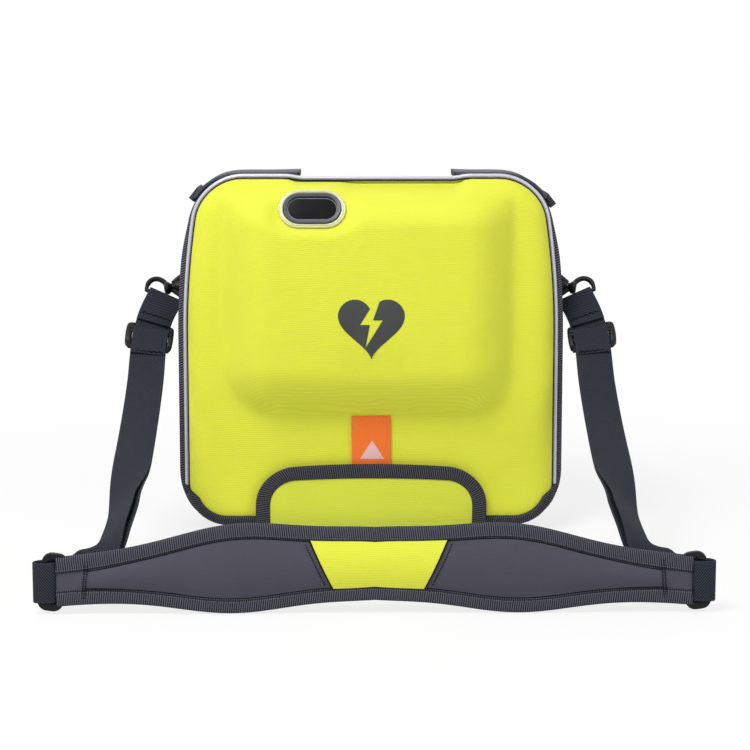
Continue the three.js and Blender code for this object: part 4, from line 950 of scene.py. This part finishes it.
def symbol():
    """A plain heart with a bolt through it, printed on the dome."""
    centre = Vector((0, FACE_Y - EDGE_RISE - DOME_RISE, 165))
    half_wide, steps = 25.0, 72

    def heart(size, proud):
        ring = []
        for i in range(steps):
            a = 2 * math.pi * i / steps
            x = 16 * math.sin(a) ** 3
            z = 13 * math.cos(a) - 5 * math.cos(2 * a) - 2 * math.cos(3 * a) - math.cos(4 * a)
            ring.append(centre + Vector((x, 0, z)) * (half_wide / 16 * size) - Vector((0, proud, 0)))
        return ring

    obj = skinned("heart_print", [heart(1, -0.1), heart(1, 0.22), heart(0.985, 0.3)], PRINT, "cover")
    bolt = [(3.0, 19), (-8.5, 0.5), (-1.2, 0.5), (-4.5, -17), (8.5, 4.0), (1.2, 4.0), (6.5, 19)]
    layers = [[centre + Vector((x, y, z - 1)) for x, z in bolt] for y in (2, -2)]
    cut(obj, bare("bolt_cutter", *loft(layers)[:2]))


# Snap hooks, eyes, webbing and sliders


HANG = deg(43.3)
out_dir = Vector((0, -math.cos(HANG), -math.sin(HANG)))
ring_centre = Vector((137, 4, 200))
knuckle = ring_centre + Vector((19.5, 0, 0)) + out_dir * 21.3
wire = ring_centre + out_dir * 12
reach = wire - knuckle
OFFSET = 5.2
crook = math.sqrt(reach.length_squared - OFFSET ** 2)
side_dir = Vector((1, 0, 0)).cross(out_dir).normalized()
hook_u = Matrix.Rotation(-math.atan2(OFFSET, crook), 3, side_dir) @ reach.normalized()
hook_v = (reach - hook_u * reach.dot(hook_u)).normalized()
hook_w = hook_u.cross(hook_v)
hook_frame = Matrix.Translation(knuckle) @ Matrix((hook_u, hook_v, hook_w)).transposed().to_4x4()
to_u = Matrix.Rotation(deg(90), 4, "Y")


def in_hook(*parts):
    """Parts drawn along the hook's own axis, set in the right-hand hook's place."""
    return [(place(rings, hook_frame), False) for rings in parts]


def along_u(profile, sides=24):
    return place(lathe(profile, sides), to_u)


def hooks():
    """Snap hooks: barrel, post and crook in one piece, and the sprung bolt with its thumb stud."""
    barrel = along_u([(0.5, 4.6), (3.0, 4.6), (4.0, 5.2), (4.2, 6.2), (4.2, 12.0), (4.4, 12.4), (4.7, 12.9),
                      (4.7, 13.7), (4.2, 14.2), (1.8, 14.2)])
    post = along_u([(1.38, -2.2), (1.38, 6)], 18)
    arm = [(5, 2.4), (8, 5.4), (11, 8.0), (14.5, 10.4), (crook - 3.4, 11.2)]
    arm += arc(crook, OFFSET, OFFSET, 90, -90, 8) + [(20.9, 0)]
    path = refine([Vector((u, v, 0)) for u, v in arm])
    radii = [lerp(3.8, 2.3, smooth(i / 22)) for i in range(len(path))]
    radii[-2:] = [1.9, 1.2]
    bent = sweep(path, lambda i: circle(radii[i], 16), lambda i: (0, 0, 1))
    bolt = along_u([(0.2, 10), (1.2, 10), (1.5, 10.3), (1.5, 19.6), (1.1, 20.3), (0.3, 20.4)], 18)
    stud = lathe([(0.95, 0.2), (0.95, 5.2), (1.8, 5.3), (2.5, 5.6), (2.6, 6.3), (2.3, 6.9), (1.2, 7.1)], 20)
    stud = place(stud, Matrix.Translation((11.4, 0, 0)))
    body, plunger = in_hook(barrel, post, bent), in_hook(bolt, stud)
    for side, sign in SIDES:
        on_side(side, sign, "hook_body_{}", body, BLACK, "snap_hook_{}", "snap_hook_{}")
        on_side(side, sign, "hook_plunger_{}", plunger, BLACK, "hook_bolt_{}", "hook_bolt_{}")


# Route of the strap: the curve of the CAD model, a little tighter where it turns to the pad
ROUTE = [(159.5, -18.7, 178.2), (165.5, -28, 165.5), (169.2, -42, 150), (170, -76, 119.5), (171, -134, 86.6),
         (171.7, -206, 60.5), (172.4, -247, 51), (176.4, -269, 41), (184, -280, 31.5), (194.5, -285.8, 24),
         (206.8, -287, 21.5)]


def spline(points, steps=60):
    """Centripetal Catmull-Rom curve, with its length at each sample."""
    pts = [Vector(p) for p in points]
    pts = [pts[0] * 2 - pts[1]] + pts + [pts[-1] * 2 - pts[-2]]
    samples = []
    for i in range(1, len(pts) - 2):
        p0, p1, p2, p3 = pts[i - 1: i + 3]
        d0, d1, d2 = (max((b - a).length ** 0.5, 1e-4) for a, b in ((p0, p1), (p1, p2), (p2, p3)))
        t1 = ((p1 - p0) / d0 - (p2 - p0) / (d0 + d1) + (p2 - p1) / d1) * d1
        t2 = ((p2 - p1) / d1 - (p3 - p1) / (d1 + d2) + (p3 - p2) / d2) * d1
        for j in range(steps):
            t = j / steps
            samples.append((2 * t ** 3 - 3 * t * t + 1) * p1 + (t ** 3 - 2 * t * t + t) * t1
                           + (-2 * t ** 3 + 3 * t * t) * p2 + (t ** 3 - t * t) * t2)
    samples.append(pts[-2])
    return samples, run_of(samples)


route, route_at = spline(ROUTE)
ROUTE_LENGTH = route_at[-1]
TILT = deg(19)
KEEPER_AT = 41.5


def point_at(s):
    s = clamp(s, 0, ROUTE_LENGTH)
    i = min(next((k for k, v in enumerate(route_at) if v > s), len(route_at) - 1), len(route_at) - 1)
    a, b = route_at[i - 1], route_at[i]
    return route[i - 1].lerp(route[i], (s - a) / max(b - a, 1e-6)), (route[i] - route[i - 1]).normalized()


def frame_at(s):
    p, t = point_at(s)
    w = Vector((math.cos(TILT), 0, math.sin(TILT))).lerp(Vector((1, 0, 0)), smooth((s - 12) / 72))
    w = w.lerp(Vector((0, 0, 1)), smooth((s - (ROUTE_LENGTH - 58)) / 52))
    w = (w - t * w.dot(t)).normalized()
    turn = deg(46) * smooth((s - (ROUTE_LENGTH - 165)) / 75) * smooth((ROUTE_LENGTH - 6 - s) / 34)
    w = w * math.cos(turn) - t.cross(w) * math.sin(turn)
    return p, t, w, t.cross(w)


p_top, t_top, w_top, n_top = frame_at(0)
WEB_R = 1.6 + 0.3 + WEB_T / 2
BAR_X, BAR_Y = SLIDER.x + 9 - 1.7, SLIDER.y


def strap_line():
    """Points and width directions of one webbing: tail sewn in front, round the eye, down the back, round the
    lower slider and up the front to the upper slider."""
    spots = []

    def layer(s, way):
        p, _, w, n = frame_at(s)
        spread = 2.4 * smooth((s - (ROUTE_LENGTH - 130)) / 50) * smooth((ROUTE_LENGTH - 12 - s) / 30)
        offset = LAYER + (WEB_R - LAYER) * (1 - smooth(s / 12)) + (spread if way < 0 else 0)
        spots.append((p + n * (way * offset), w))

    s = 24.5
    while s > 1:
        layer(s, 1)
        s -= 1.8
    for a, b in arc(0, 0, WEB_R, 0, 180, 12):
        spots.append((p_top + n_top * a - t_top * b, w_top))
    steps = 90
    for i in range(1, steps + 1):
        layer(i / steps * (ROUTE_LENGTH - 2), -1)
    bend = [(-9.6, 5.6), (-5, 5.9), (-1, 5.4), (2, 4), (3.6, 1.4), (3.6, -1), (2.4, -3), (0, -3.6),
            (-6, -3.7), (-8.9, -3.3), (-9.9, -1.6), (-10.1, 1), (-10.6, 3)]
    for p in refine([Vector((BAR_X + x, BAR_Y + y, SLIDER.z)) for x, y in bend], 2):
        spots.append((p, Vector((0, 0, 1))))
    for i in range(steps, 0, -1):
        s = i / steps * (ROUTE_LENGTH - 6)
        if s > KEEPER_AT - 6:
            layer(s, 1)
    return spots


def straps():
    """Both webbings with their sewn ends."""
    spots = strap_line()
    for side, sign in SIDES:
        path = flipped([p for p, _ in spots], sign)
        wides = flipped([w for _, w in spots], sign)
        ribbon(f"strap_{side}", path, wides, WEB, WEB_T, WEBBING, "strap", (f"webbing_{side}",))
        stitch_row(f"strap_stitches_{side}", 18.5, LAYER + WEB_T / 2, 11, sign, "strap")


def stitch(ends, middle_r, wide):
    """One stitch through three points, thickest in the middle."""
    return loft(sweep(ends, lambda i: circle((0.35, middle_r, 0.35)[i], 6), lambda i: wide))


def stitch_row(name, s, level, count, sign, body):
    """A row of dark stitches across the webbing at the distance s down its route."""
    p, t, w, n = frame_at(s)
    span, half_long = 23.0, 0.85
    dots = []
    for i in range(count):
        q = p + n * (level + 0.1) + w * (span * ((i + 0.5) / count - 0.5)) + t * (0.3 * (-1) ** i)
        ends = flipped([q - w * half_long, q + n * 0.25, q + w * half_long], sign)
        dots.append(stitch(ends, 0.62, (0, 0, 1)))
    piece(name, *merged(*dots), THREAD, body)


def eyes():
    """Swivel eyes: a wire loop that carries the webbing, and the block that turns on the hook's post."""
    up = -t_top
    rise = knuckle - p_top
    high = rise.dot(up)
    lift = rise - up * high
    low, half = 2.0, 16.0
    arch = [(16.3, 5.5), (15.2, 10), (11.8, 13.2), (7, 13.6), (3, 12), (0, 10.5), (-5, 9.6), (-10.5, 8.2),
            (-14.8, 5.8)]
    line = arc(half - low, low, low, -90, 0, 3) + arch + arc(low - half, low, low, 180, 270, 3)
    path = refine([p_top + w_top * a + up * b + lift * smooth(b / high) for a, b in line], 3, closed=True)
    wires = [lerp(1.6, 2.05, smooth(((p - p_top).dot(up) - 3) / 4)) for p in path]
    rings = sweep(path, lambda i: circle(wires[i], 14), lambda i: w_top.cross(up), closed=True)
    block = along_u([(0.3, -4), (4.0, -4), (4.9, -3.5), (5.0, -2.8), (5.0, -0.6), (4.4, 0.2), (3.4, 1.2),
                     (3.0, 2.6), (0.3, 2.8)])
    pair("eye_loop_{}", [(rings, True), *in_hook(block)], BLACK, "strap", "swivel_eye_{}")


def bar_rings(path, width, t, u, v, taper=0.8):
    """Rings of a rounded bar along a path; width along u, thickness along v."""
    shape = round_box(width / 2, t / 2, 0.3 * min(width, t), 3)
    rings = []
    for i, p in enumerate(path):
        k = taper if i in (0, len(path) - 1) else 1
        rings.append([p + u * (x * k) + v * (y * k) for x, y in shape])
    return rings


def keepers():
    """Upper sliders: bowed cheeks, bars, and the webbing's end folded over the front bar; a black bar just
    above the fold stands for the shadow line there, as painted shadow.
    """
    p, t, w, n = frame_at(KEEPER_AT)
    parts = []
    for x, wide in ((-15.2, 4.0), (15.7, 5.2)):
        cheek = []
        for a in spaced(-1, 1, 12):
            out = ((1 - a * a) * 0.6 - 1.2 * abs(a) ** 6) * math.copysign(1, x)
            cheek.append(p + w * (x + out) + t * (10.4 * a - 4.6) - n * (1.2 * abs(a) ** 3))
        parts.append((bar_rings(cheek, wide, 7.0, w, n, 0.75), False))
    # The bar at -9.4, in front just above the wrap's fold, is a black band for the shadow line at the fold:
    # painted shadow.
    for y, depth in ((-13.4, -3.4), (4.8, -3.4), (-6.2, 3.1), (-9.4, 3.2)):
        c = p + t * y + n * depth
        parts.append((bar_rings([c + w * a for a in spaced(-15.6, 15.6, 4)], 3.6, 2.2, t, n), False))
    front = LAYER + WEB_T / 2
    fold = [(-3.5, 0.9), (-5.8, 0.7), (-7.6, 1.1), (-8.1, 2.4), (-6.9, 3.6), (-5.0, 3.7), (-1, 2.6), (4, 1.5),
            (9, 1.0), (14.5, 0.9)]
    wrap = []
    for s, off in fold:
        q, _, _, normal = frame_at(KEEPER_AT + s)
        wrap.append(q + normal * (front + off))
    wrap = refine(wrap, 3)
    for side, sign in SIDES:
        body, path = f"upper_slider_{side}", flipped(wrap, sign)
        on_side(side, sign, "keeper_{}", parts, BLACK, body, body)
        ribbon(f"keeper_wrap_{side}", path, flipped([w] * len(path), sign), WEB - 0.6, 1.5, WEBBING, body)
        stitch_row(f"wrap_stitches_{side}", KEEPER_AT + 12.8, front + 1.65, 12, sign, body)


def lower_sliders():
    """Flat frames with a middle bar at both ends of the pad, leaning with it."""
    w, h, r, bar = 8.6, 19.5, 6.6, 3.4
    lean_by = Matrix.Translation(SLIDER - Vector((1.2, 0, 0))) @ Matrix.Rotation(deg(-7.5), 4, "Y")
    half = [(0.9, 2.0), (0.3, 1.7), (0, 0.8)]
    inner = [(bar - 0.5, 1.9), (bar - 0.1, 1.3), (bar, 0.5)]
    front = half[::-1] + inner
    levels = [(inset, -y) for inset, y in half] + front + [(inset, -y) for inset, y in inner[::-1]]
    frame_rings = []
    for inset, y in levels:
        high = h - inset * (1 + 0.68 * smooth((inset - 1) / 2))
        ring = round_box(w - inset, high, max(r - inset, 0.8), 6)
        frame_rings.append([lean_by @ Vector((x, y, z)) for x, z in ring])
    line = [lean_by @ Vector((0, 0, z)) for z in spaced(2 - h, h - 2, 4)]
    middle = bar_rings(line, 3.4, 2.6, Vector((1, 0, 0)), Vector((0, 1, 0)))
    pair("slider_frame_{}", [(frame_rings, True), (middle, False)], BLACK, "strap", "lower_slider_{}")


# Shoulder pad


def pad_half_high(x):
    u = abs(x) / PAD_HALF
    return 15.0 + 13.2 * math.exp(-(((u - 0.43) / 0.265) ** 2)) + 7 * math.exp(-((u / 0.24) ** 2))


def pad_middle(x):
    return PAD_Z - (PAD_Z - SLIDER.z) * (abs(x) / PAD_HALF) ** 1.6


def pad_front(x, z):
    """Front of the pad's foam at x, z."""
    end = smooth((PAD_LOOP - abs(x)) / 26)
    share = clamp((pad_half_high(x) - 8 - abs(z - pad_middle(x))) / (pad_half_high(x) - 8))
    crown = 1.6 + (5.5 - 1.6) * end
    return PAD_Y - lerp(1.6, crown, math.sin(share * math.pi / 2) ** 0.8)


def pad():
    """The pad's foam, filled by a cloth simulation, and its ends folded round the sliders' inner bars."""
    rows = [0.18, 0.35, 0.5, 0.64, 0.76, 0.86, 0.94, 1.0]
    rows = rows[::-1] + [0] + [-r for r in rows]
    rings = []
    for x in spaced(0.4 - PAD_LOOP, PAD_LOOP - 0.4, 110):
        h, m = pad_half_high(x), pad_middle(x)
        end = smooth((PAD_LOOP - abs(x)) / 26)
        front = [(x, pad_front(x, m + h * r), m + h * r) for r in rows]
        back = [(x, PAD_Y + 1.6 + 0.9 * (1 - r * r) * end, m + h * r) for r in reversed(rows)]
        rings.append(front + back)
    obj = skinned("pad_foam", rings, PAD_CLOTH, "strap", ("shoulder_pad",), sharp=70)
    inflate(obj)
    outer = [(-16, -1.3), (-9, -1.9), (-4, -2.35), (0.4, -2.6), (3, -2.65), (5.2, -2.3), (6.0, -1.2),
             (6.1, 0), (6.0, 1.2), (5.2, 2.3), (3, 2.65), (0.4, 2.4), (-1, 1.6), (-6, 1.5), (-16, 1.3)]
    inner = [(-15.6, 0.6), (-6, 0.6), (0.2, 1.2), (3, 1.85), (4.4, 1.5), (4.8, 0), (4.4, -1.5), (3, -1.85),
             (0.2, -1.2), (-6, -0.9), (-15.6, -0.6)]
    ring = [p for line in (outer, inner) for p in refine([Vector((x, y, 0)) for x, y in line], 3)]
    levels = [pad_middle(PAD_LOOP) + a for a in spaced(-15.2, 15.2, 14)]
    rings = [[(PAD_LOOP + p.x, PAD_Y + p.y, z) for p in ring] for z in levels]
    pair("pad_end_loop_{}", [(rings, False)], PAD_CLOTH, "strap")


def inflate(obj):
    """Lets a cloth simulation fill the pad; its edges stay in the binding."""
    farthest = 0.0016
    remesh = obj.modifiers.new("remesh", "REMESH")
    remesh.mode, remesh.voxel_size = "VOXEL", 0.0022
    bake(obj)
    group = obj.vertex_groups.new(name="pinned")
    for v in obj.data.vertices:
        x, z = v.co.x / MM, v.co.z / MM
        edge = pad_half_high(x) - abs(z - pad_middle(x))
        hold = 1 - smooth((min(edge, PAD_LOOP - abs(x)) - 7.5) / 5)
        group.add([v.index], hold, "REPLACE")
    start = [v.co.copy() for v in obj.data.vertices]
    cloth = obj.modifiers.new("cloth", "CLOTH")
    cloth.settings.vertex_group_mass = "pinned"
    cloth.settings.use_pressure = True
    cloth.settings.uniform_pressure_force = 4
    cloth.settings.effector_weights.gravity = 0
    cloth.settings.tension_stiffness = cloth.settings.compression_stiffness = 12
    scene = bpy.context.scene
    for number in range(1, 21):
        scene.frame_set(number)
    bake(obj)
    scene.frame_set(1)
    for v, old in zip(obj.data.vertices, start):
        move = v.co - old
        if move.length > farthest:
            v.co = old + move.normalized() * farthest
    obj.data.materials.clear()
    obj.data.materials.append(PAD_CLOTH)
    obj.data.polygons.foreach_set("use_smooth", [True] * len(obj.data.polygons))


def tape_lap(x):
    """How much deeper the bindings reach over the pad towards its ends."""
    return 1.2 * smooth((abs(x) - 150) / 50)


def pad_tapes():
    """Ribbed bindings over both long edges of the pad, each with a near-black cord along its inner edge as
    painted shadow.
    """
    end = PAD_LOOP + 5.6
    xs = spaced(-end, end, 170)
    for name, way in (("top", 1), ("bottom", -1)):
        rings = []
        for x in xs:
            z = pad_middle(x) + way * pad_half_high(x)
            deep = 8.5 + tape_lap(x)
            thick = 3.0 + 0.5 * smooth((abs(x) - PAD_LOOP + 6) / 6)
            half = [(0.65, -deep), (0.88, 0.4 - deep), (0.98, 1.4 - deep), (1, -1), (0.88, 0.4), (0.53, 1.15)]
            profile = [(-a, d) for a, d in half] + [(0, 1.3)] + half[::-1]
            rings.append([(x, PAD_Y + a * thick, z + way * d) for a, d in profile])
        across = [0, 0.6, 1.5, 7.6, 9, 9.8]
        points, faces, _ = loft(rings)
        edge = [(x, 0, pad_middle(x) + way * pad_half_high(x)) for x in xs]
        uvs = strip_uvs(faces, run_of(edge), across + [11] + across[::-1])
        piece(f"pad_tape_{name}", points, faces, PAD_TAPE, "strap", (f"pad_binding_{name}",), uvs, 60)
        # A near-black cord where the binding meets the pad: painted shadow.
        thread = []
        for x in xs[8:-8]:
            z = pad_middle(x) + way * (pad_half_high(x) - 8.7 - tape_lap(x))
            thread.append(Vector((x, min(pad_front(x, z) - 0.1, PAD_Y - 1.9), z)))
        tube(f"pad_tape_shadow_{name}", thread, 0.38, THREAD, "strap", (), 8, normal=(0, 1, 0))


# The hi-vis panel of the pad: half its width above and below, its upper and lower edge, its middle
PANEL_TOP, PANEL_FOOT, PANEL_HIGH, PANEL_LOW, PANEL_X = 45.2, 29.4, 50.2, 16.2, 2.5


def panel_edge(sign, count):
    """Points (x, z) down the panel's right or left edge."""
    reaches, heights = spaced(PANEL_TOP, PANEL_FOOT, count), spaced(PANEL_HIGH, PANEL_LOW, count)
    return [(PANEL_X + sign * x, z) for x, z in zip(reaches, heights)]


def pad_panel():
    """The hi-vis panel, slightly proud of the foam, its ends in the bindings."""
    rows, columns = 14, 30
    wide = columns + 1
    sides = list(zip(panel_edge(-1, rows), panel_edge(1, rows)))
    points, faces = [], []
    for level in (0.2, 0.75):
        for (left, z), (right, _) in sides:
            points += [(x, pad_front(x, z) - level, z) for x in spaced(left, right, columns)]
    size = (rows + 1) * wide
    for a in (i * wide + k for i in range(rows) for k in range(columns)):
        quad = (a, a + 1, a + wide + 1, a + wide)
        faces += [quad, tuple(v + size for v in reversed(quad))]
    border = list(range(wide)) + [(i + 1) * wide - 1 for i in range(1, rows + 1)]
    border += [rows * wide + k for k in reversed(range(columns))]
    border += [i * wide for i in range(rows - 1, 0, -1)]
    faces += [(a, b, b + size, a + size) for a, b in zip(border, border[1:] + border[:1])]
    piece("pad_centre_panel", points, faces, HIVIS, "strap", ("pad_panel",))


def pad_threads():
    """A dark cord along each slanted edge of the panel as painted shadow, a stitched row beside the panel,
    and two rows crossing each end of the pad.
    """
    cross, tip = 189, 0.3
    middle = pad_middle(cross)
    for side, sign in SIDES:
        # A dark cord along the panel's edge: painted shadow.
        path = [Vector((x + sign * 0.4, pad_front(x, z) - 0.5, z)) for x, z in panel_edge(sign, 10)]
        tube(f"panel_edge_shadow_{side}", path, 0.6, THREAD, "strap", (), 10, normal=(0, 1, 0))
        rows = [[(x + sign * 4.2, z) for x, z in panel_edge(sign, 22) if PANEL_LOW + 3 < z < PANEL_HIGH - 3]]
        for lift in (-0.9, 0.9):
            heights = [1.6 * i for i in range(-8, 9)]
            rows.append([(sign * (cross + lift - 0.1 * z), middle + z) for z in heights])
        dots = []
        for a, b in (step for row in rows for step in zip(row, row[1:])):
            ends = []
            for k in (tip, 0.5, 1 - tip / 2):
                x, z = lerp(a[0], b[0], k), lerp(a[1], b[1], k)
                on_tape = abs(a[0]) > 100 and abs(z - middle) > 5.4
                ends.append(Vector((x, pad_front(x, z) - (1.22 if on_tape else 0.12), z)))
            dots.append(stitch(ends, 0.55, (0, 1, 0)))
        piece(f"pad_stitches_{side}", *merged(*dots), THREAD, "strap")


# Finishes of the solids that the scene shows as they are


def dress_nodes():
    """Gives the unit, the patches and the zip sliders their finishes."""
    finishes = {
        HOUSING: ("unit_front_housing", "unit_back_housing"), RUBBER: ("unit_gasket", "unit_handle"),
        GLASS: ("unit_display",), GREEN: ("indicator_lens", "power_button"), BLACK: ("unit_speaker",),
        GREY: ("battery_pack",), BOARD: ("main_board",), BLUE: ("energy_capacitor", "child_button"),
        FOIL: ("electrode_pouch",), AMBER: ("shock_button",), LINING: ("loop_patch", "hook_patch"),
        METAL: ("zip_slider_left", "zip_slider_right", "zip_pull_left", "zip_pull_right"),
    }
    for material, names in finishes.items():
        for name in names:
            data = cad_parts[name].data
            data.materials.clear()
            data.materials.append(material)


front_cover()
window()
gusset()
piping()
edge_tape()
rear_shell()
base_plate()
hinge_strips()
zips()
side_rings()
flap()
pull_tab()
symbol()
hooks()
straps()
eyes()
keepers()
lower_sliders()
pad()
pad_tapes()
pad_panel()
pad_threads()
dress_nodes()


# Stage, light and camera


AMBIENT = 0.36


def seen(tree):
    """1 for what the camera sees, straight, in a reflection or through glass."""
    light_path = tree.nodes.new("ShaderNodeLightPath").outputs
    either = math_node(tree, "MAXIMUM", light_path["Is Glossy Ray"], light_path["Is Transmission Ray"])
    return math_node(tree, "MAXIMUM", light_path["Is Camera Ray"], either)


def stage():
    """Pale floor that keeps the object's shadow near it and turns white further away, and a white world."""
    reach = 9000
    corners = [(-reach, -reach, 0), (reach, -reach, 0), (reach, reach, 0), (-reach, reach, 0)]
    floor = bare("floor", corners, [(0, 1, 2, 3)])
    material = bpy.data.materials.new("floor")
    material.use_nodes = True
    tree = material.node_tree
    nodes, link = tree.nodes, tree.links.new
    diffuse = nodes["Principled BSDF"]
    diffuse.inputs["Base Color"].default_value = (0.9, 0.9, 0.9, 1)
    diffuse.inputs["Roughness"].default_value = 0.9
    diffuse.inputs["Specular IOR Level"].default_value = 0.1
    white = nodes.new("ShaderNodeEmission")
    length = nodes.new("ShaderNodeVectorMath")
    length.operation = "LENGTH"
    link(nodes.new("ShaderNodeTexCoord").outputs["Object"], length.inputs[0])
    away = nodes.new("ShaderNodeMapRange")
    away.interpolation_type = "SMOOTHSTEP"
    for socket, value in (("From Min", 0.25), ("From Max", 0.75), ("To Min", 0.78), ("To Max", 1.0)):
        away.inputs[socket].default_value = value
    link(length.outputs["Value"], away.inputs["Value"])
    mix = nodes.new("ShaderNodeMixShader")
    link(math_node(tree, "MULTIPLY", seen(tree), away.outputs["Result"]), mix.inputs[0])
    link(diffuse.outputs[0], mix.inputs[1])
    link(white.outputs[0], mix.inputs[2])
    link(mix.outputs[0], nodes["Material Output"].inputs["Surface"])
    floor.data.materials.append(material)

    world = bpy.data.worlds.new("studio")
    bpy.context.scene.world = world
    world.use_nodes = True
    tree = world.node_tree
    background = tree.nodes["Background"]
    background.inputs["Color"].default_value = (1, 1, 1, 1)
    level = math_node(tree, "MULTIPLY_ADD", seen(tree), 1 - AMBIENT, AMBIENT)
    tree.links.new(level, background.inputs["Strength"])


def lamp(name, place_at, target, size, power):
    data = bpy.data.lights.new(name, "AREA")
    data.shape, data.size, data.size_y, data.energy = "RECTANGLE", size[0], size[1], power
    obj = bpy.data.objects.new(name, data)
    bpy.context.scene.collection.objects.link(obj)
    obj.location = place_at
    obj.rotation_euler = (Vector(target) - Vector(place_at)).to_track_quat("-Z", "Y").to_euler()


def camera():
    """The photograph's view, by its target, distance, rise, turn and the width that it sees at the target."""
    target, distance, rise, turn, across = Vector((0.003, -0.056, 0.123)), 1.55, deg(8.3), deg(0.71), 0.5715
    sensor = 36
    data = bpy.data.cameras.new("camera")
    data.sensor_width = data.sensor_height = sensor
    data.sensor_fit = "HORIZONTAL"
    data.lens = sensor * distance / across
    obj = bpy.data.objects.new("camera", data)
    bpy.context.scene.collection.objects.link(obj)
    away = Vector((-math.cos(rise) * math.sin(turn), -math.cos(rise) * math.cos(turn), math.sin(rise)))
    obj.location = target + away * distance
    obj.rotation_euler = (target - obj.location).to_track_quat("-Z", "Y").to_euler()
    bpy.context.scene.camera = obj


stage()
lamp("key", (-0.62, -1.05, 1.7), (0, -0.06, 0.14), (0.9, 0.9), 29)
lamp("left_fill", (-1.6, -0.7, 0.5), (0, -0.05, 0.12), (0.9, 1.2), 1.5)
lamp("right_fill", (1.3, -1.2, 0.9), (0, -0.05, 0.12), (0.9, 1.2), 5)
lamp("rear", (0, 1.4, 1.2), (0, 0, 0.15), (1.6, 0.8), 7)
camera()

bpy.context.scene.view_settings.view_transform = "Standard"
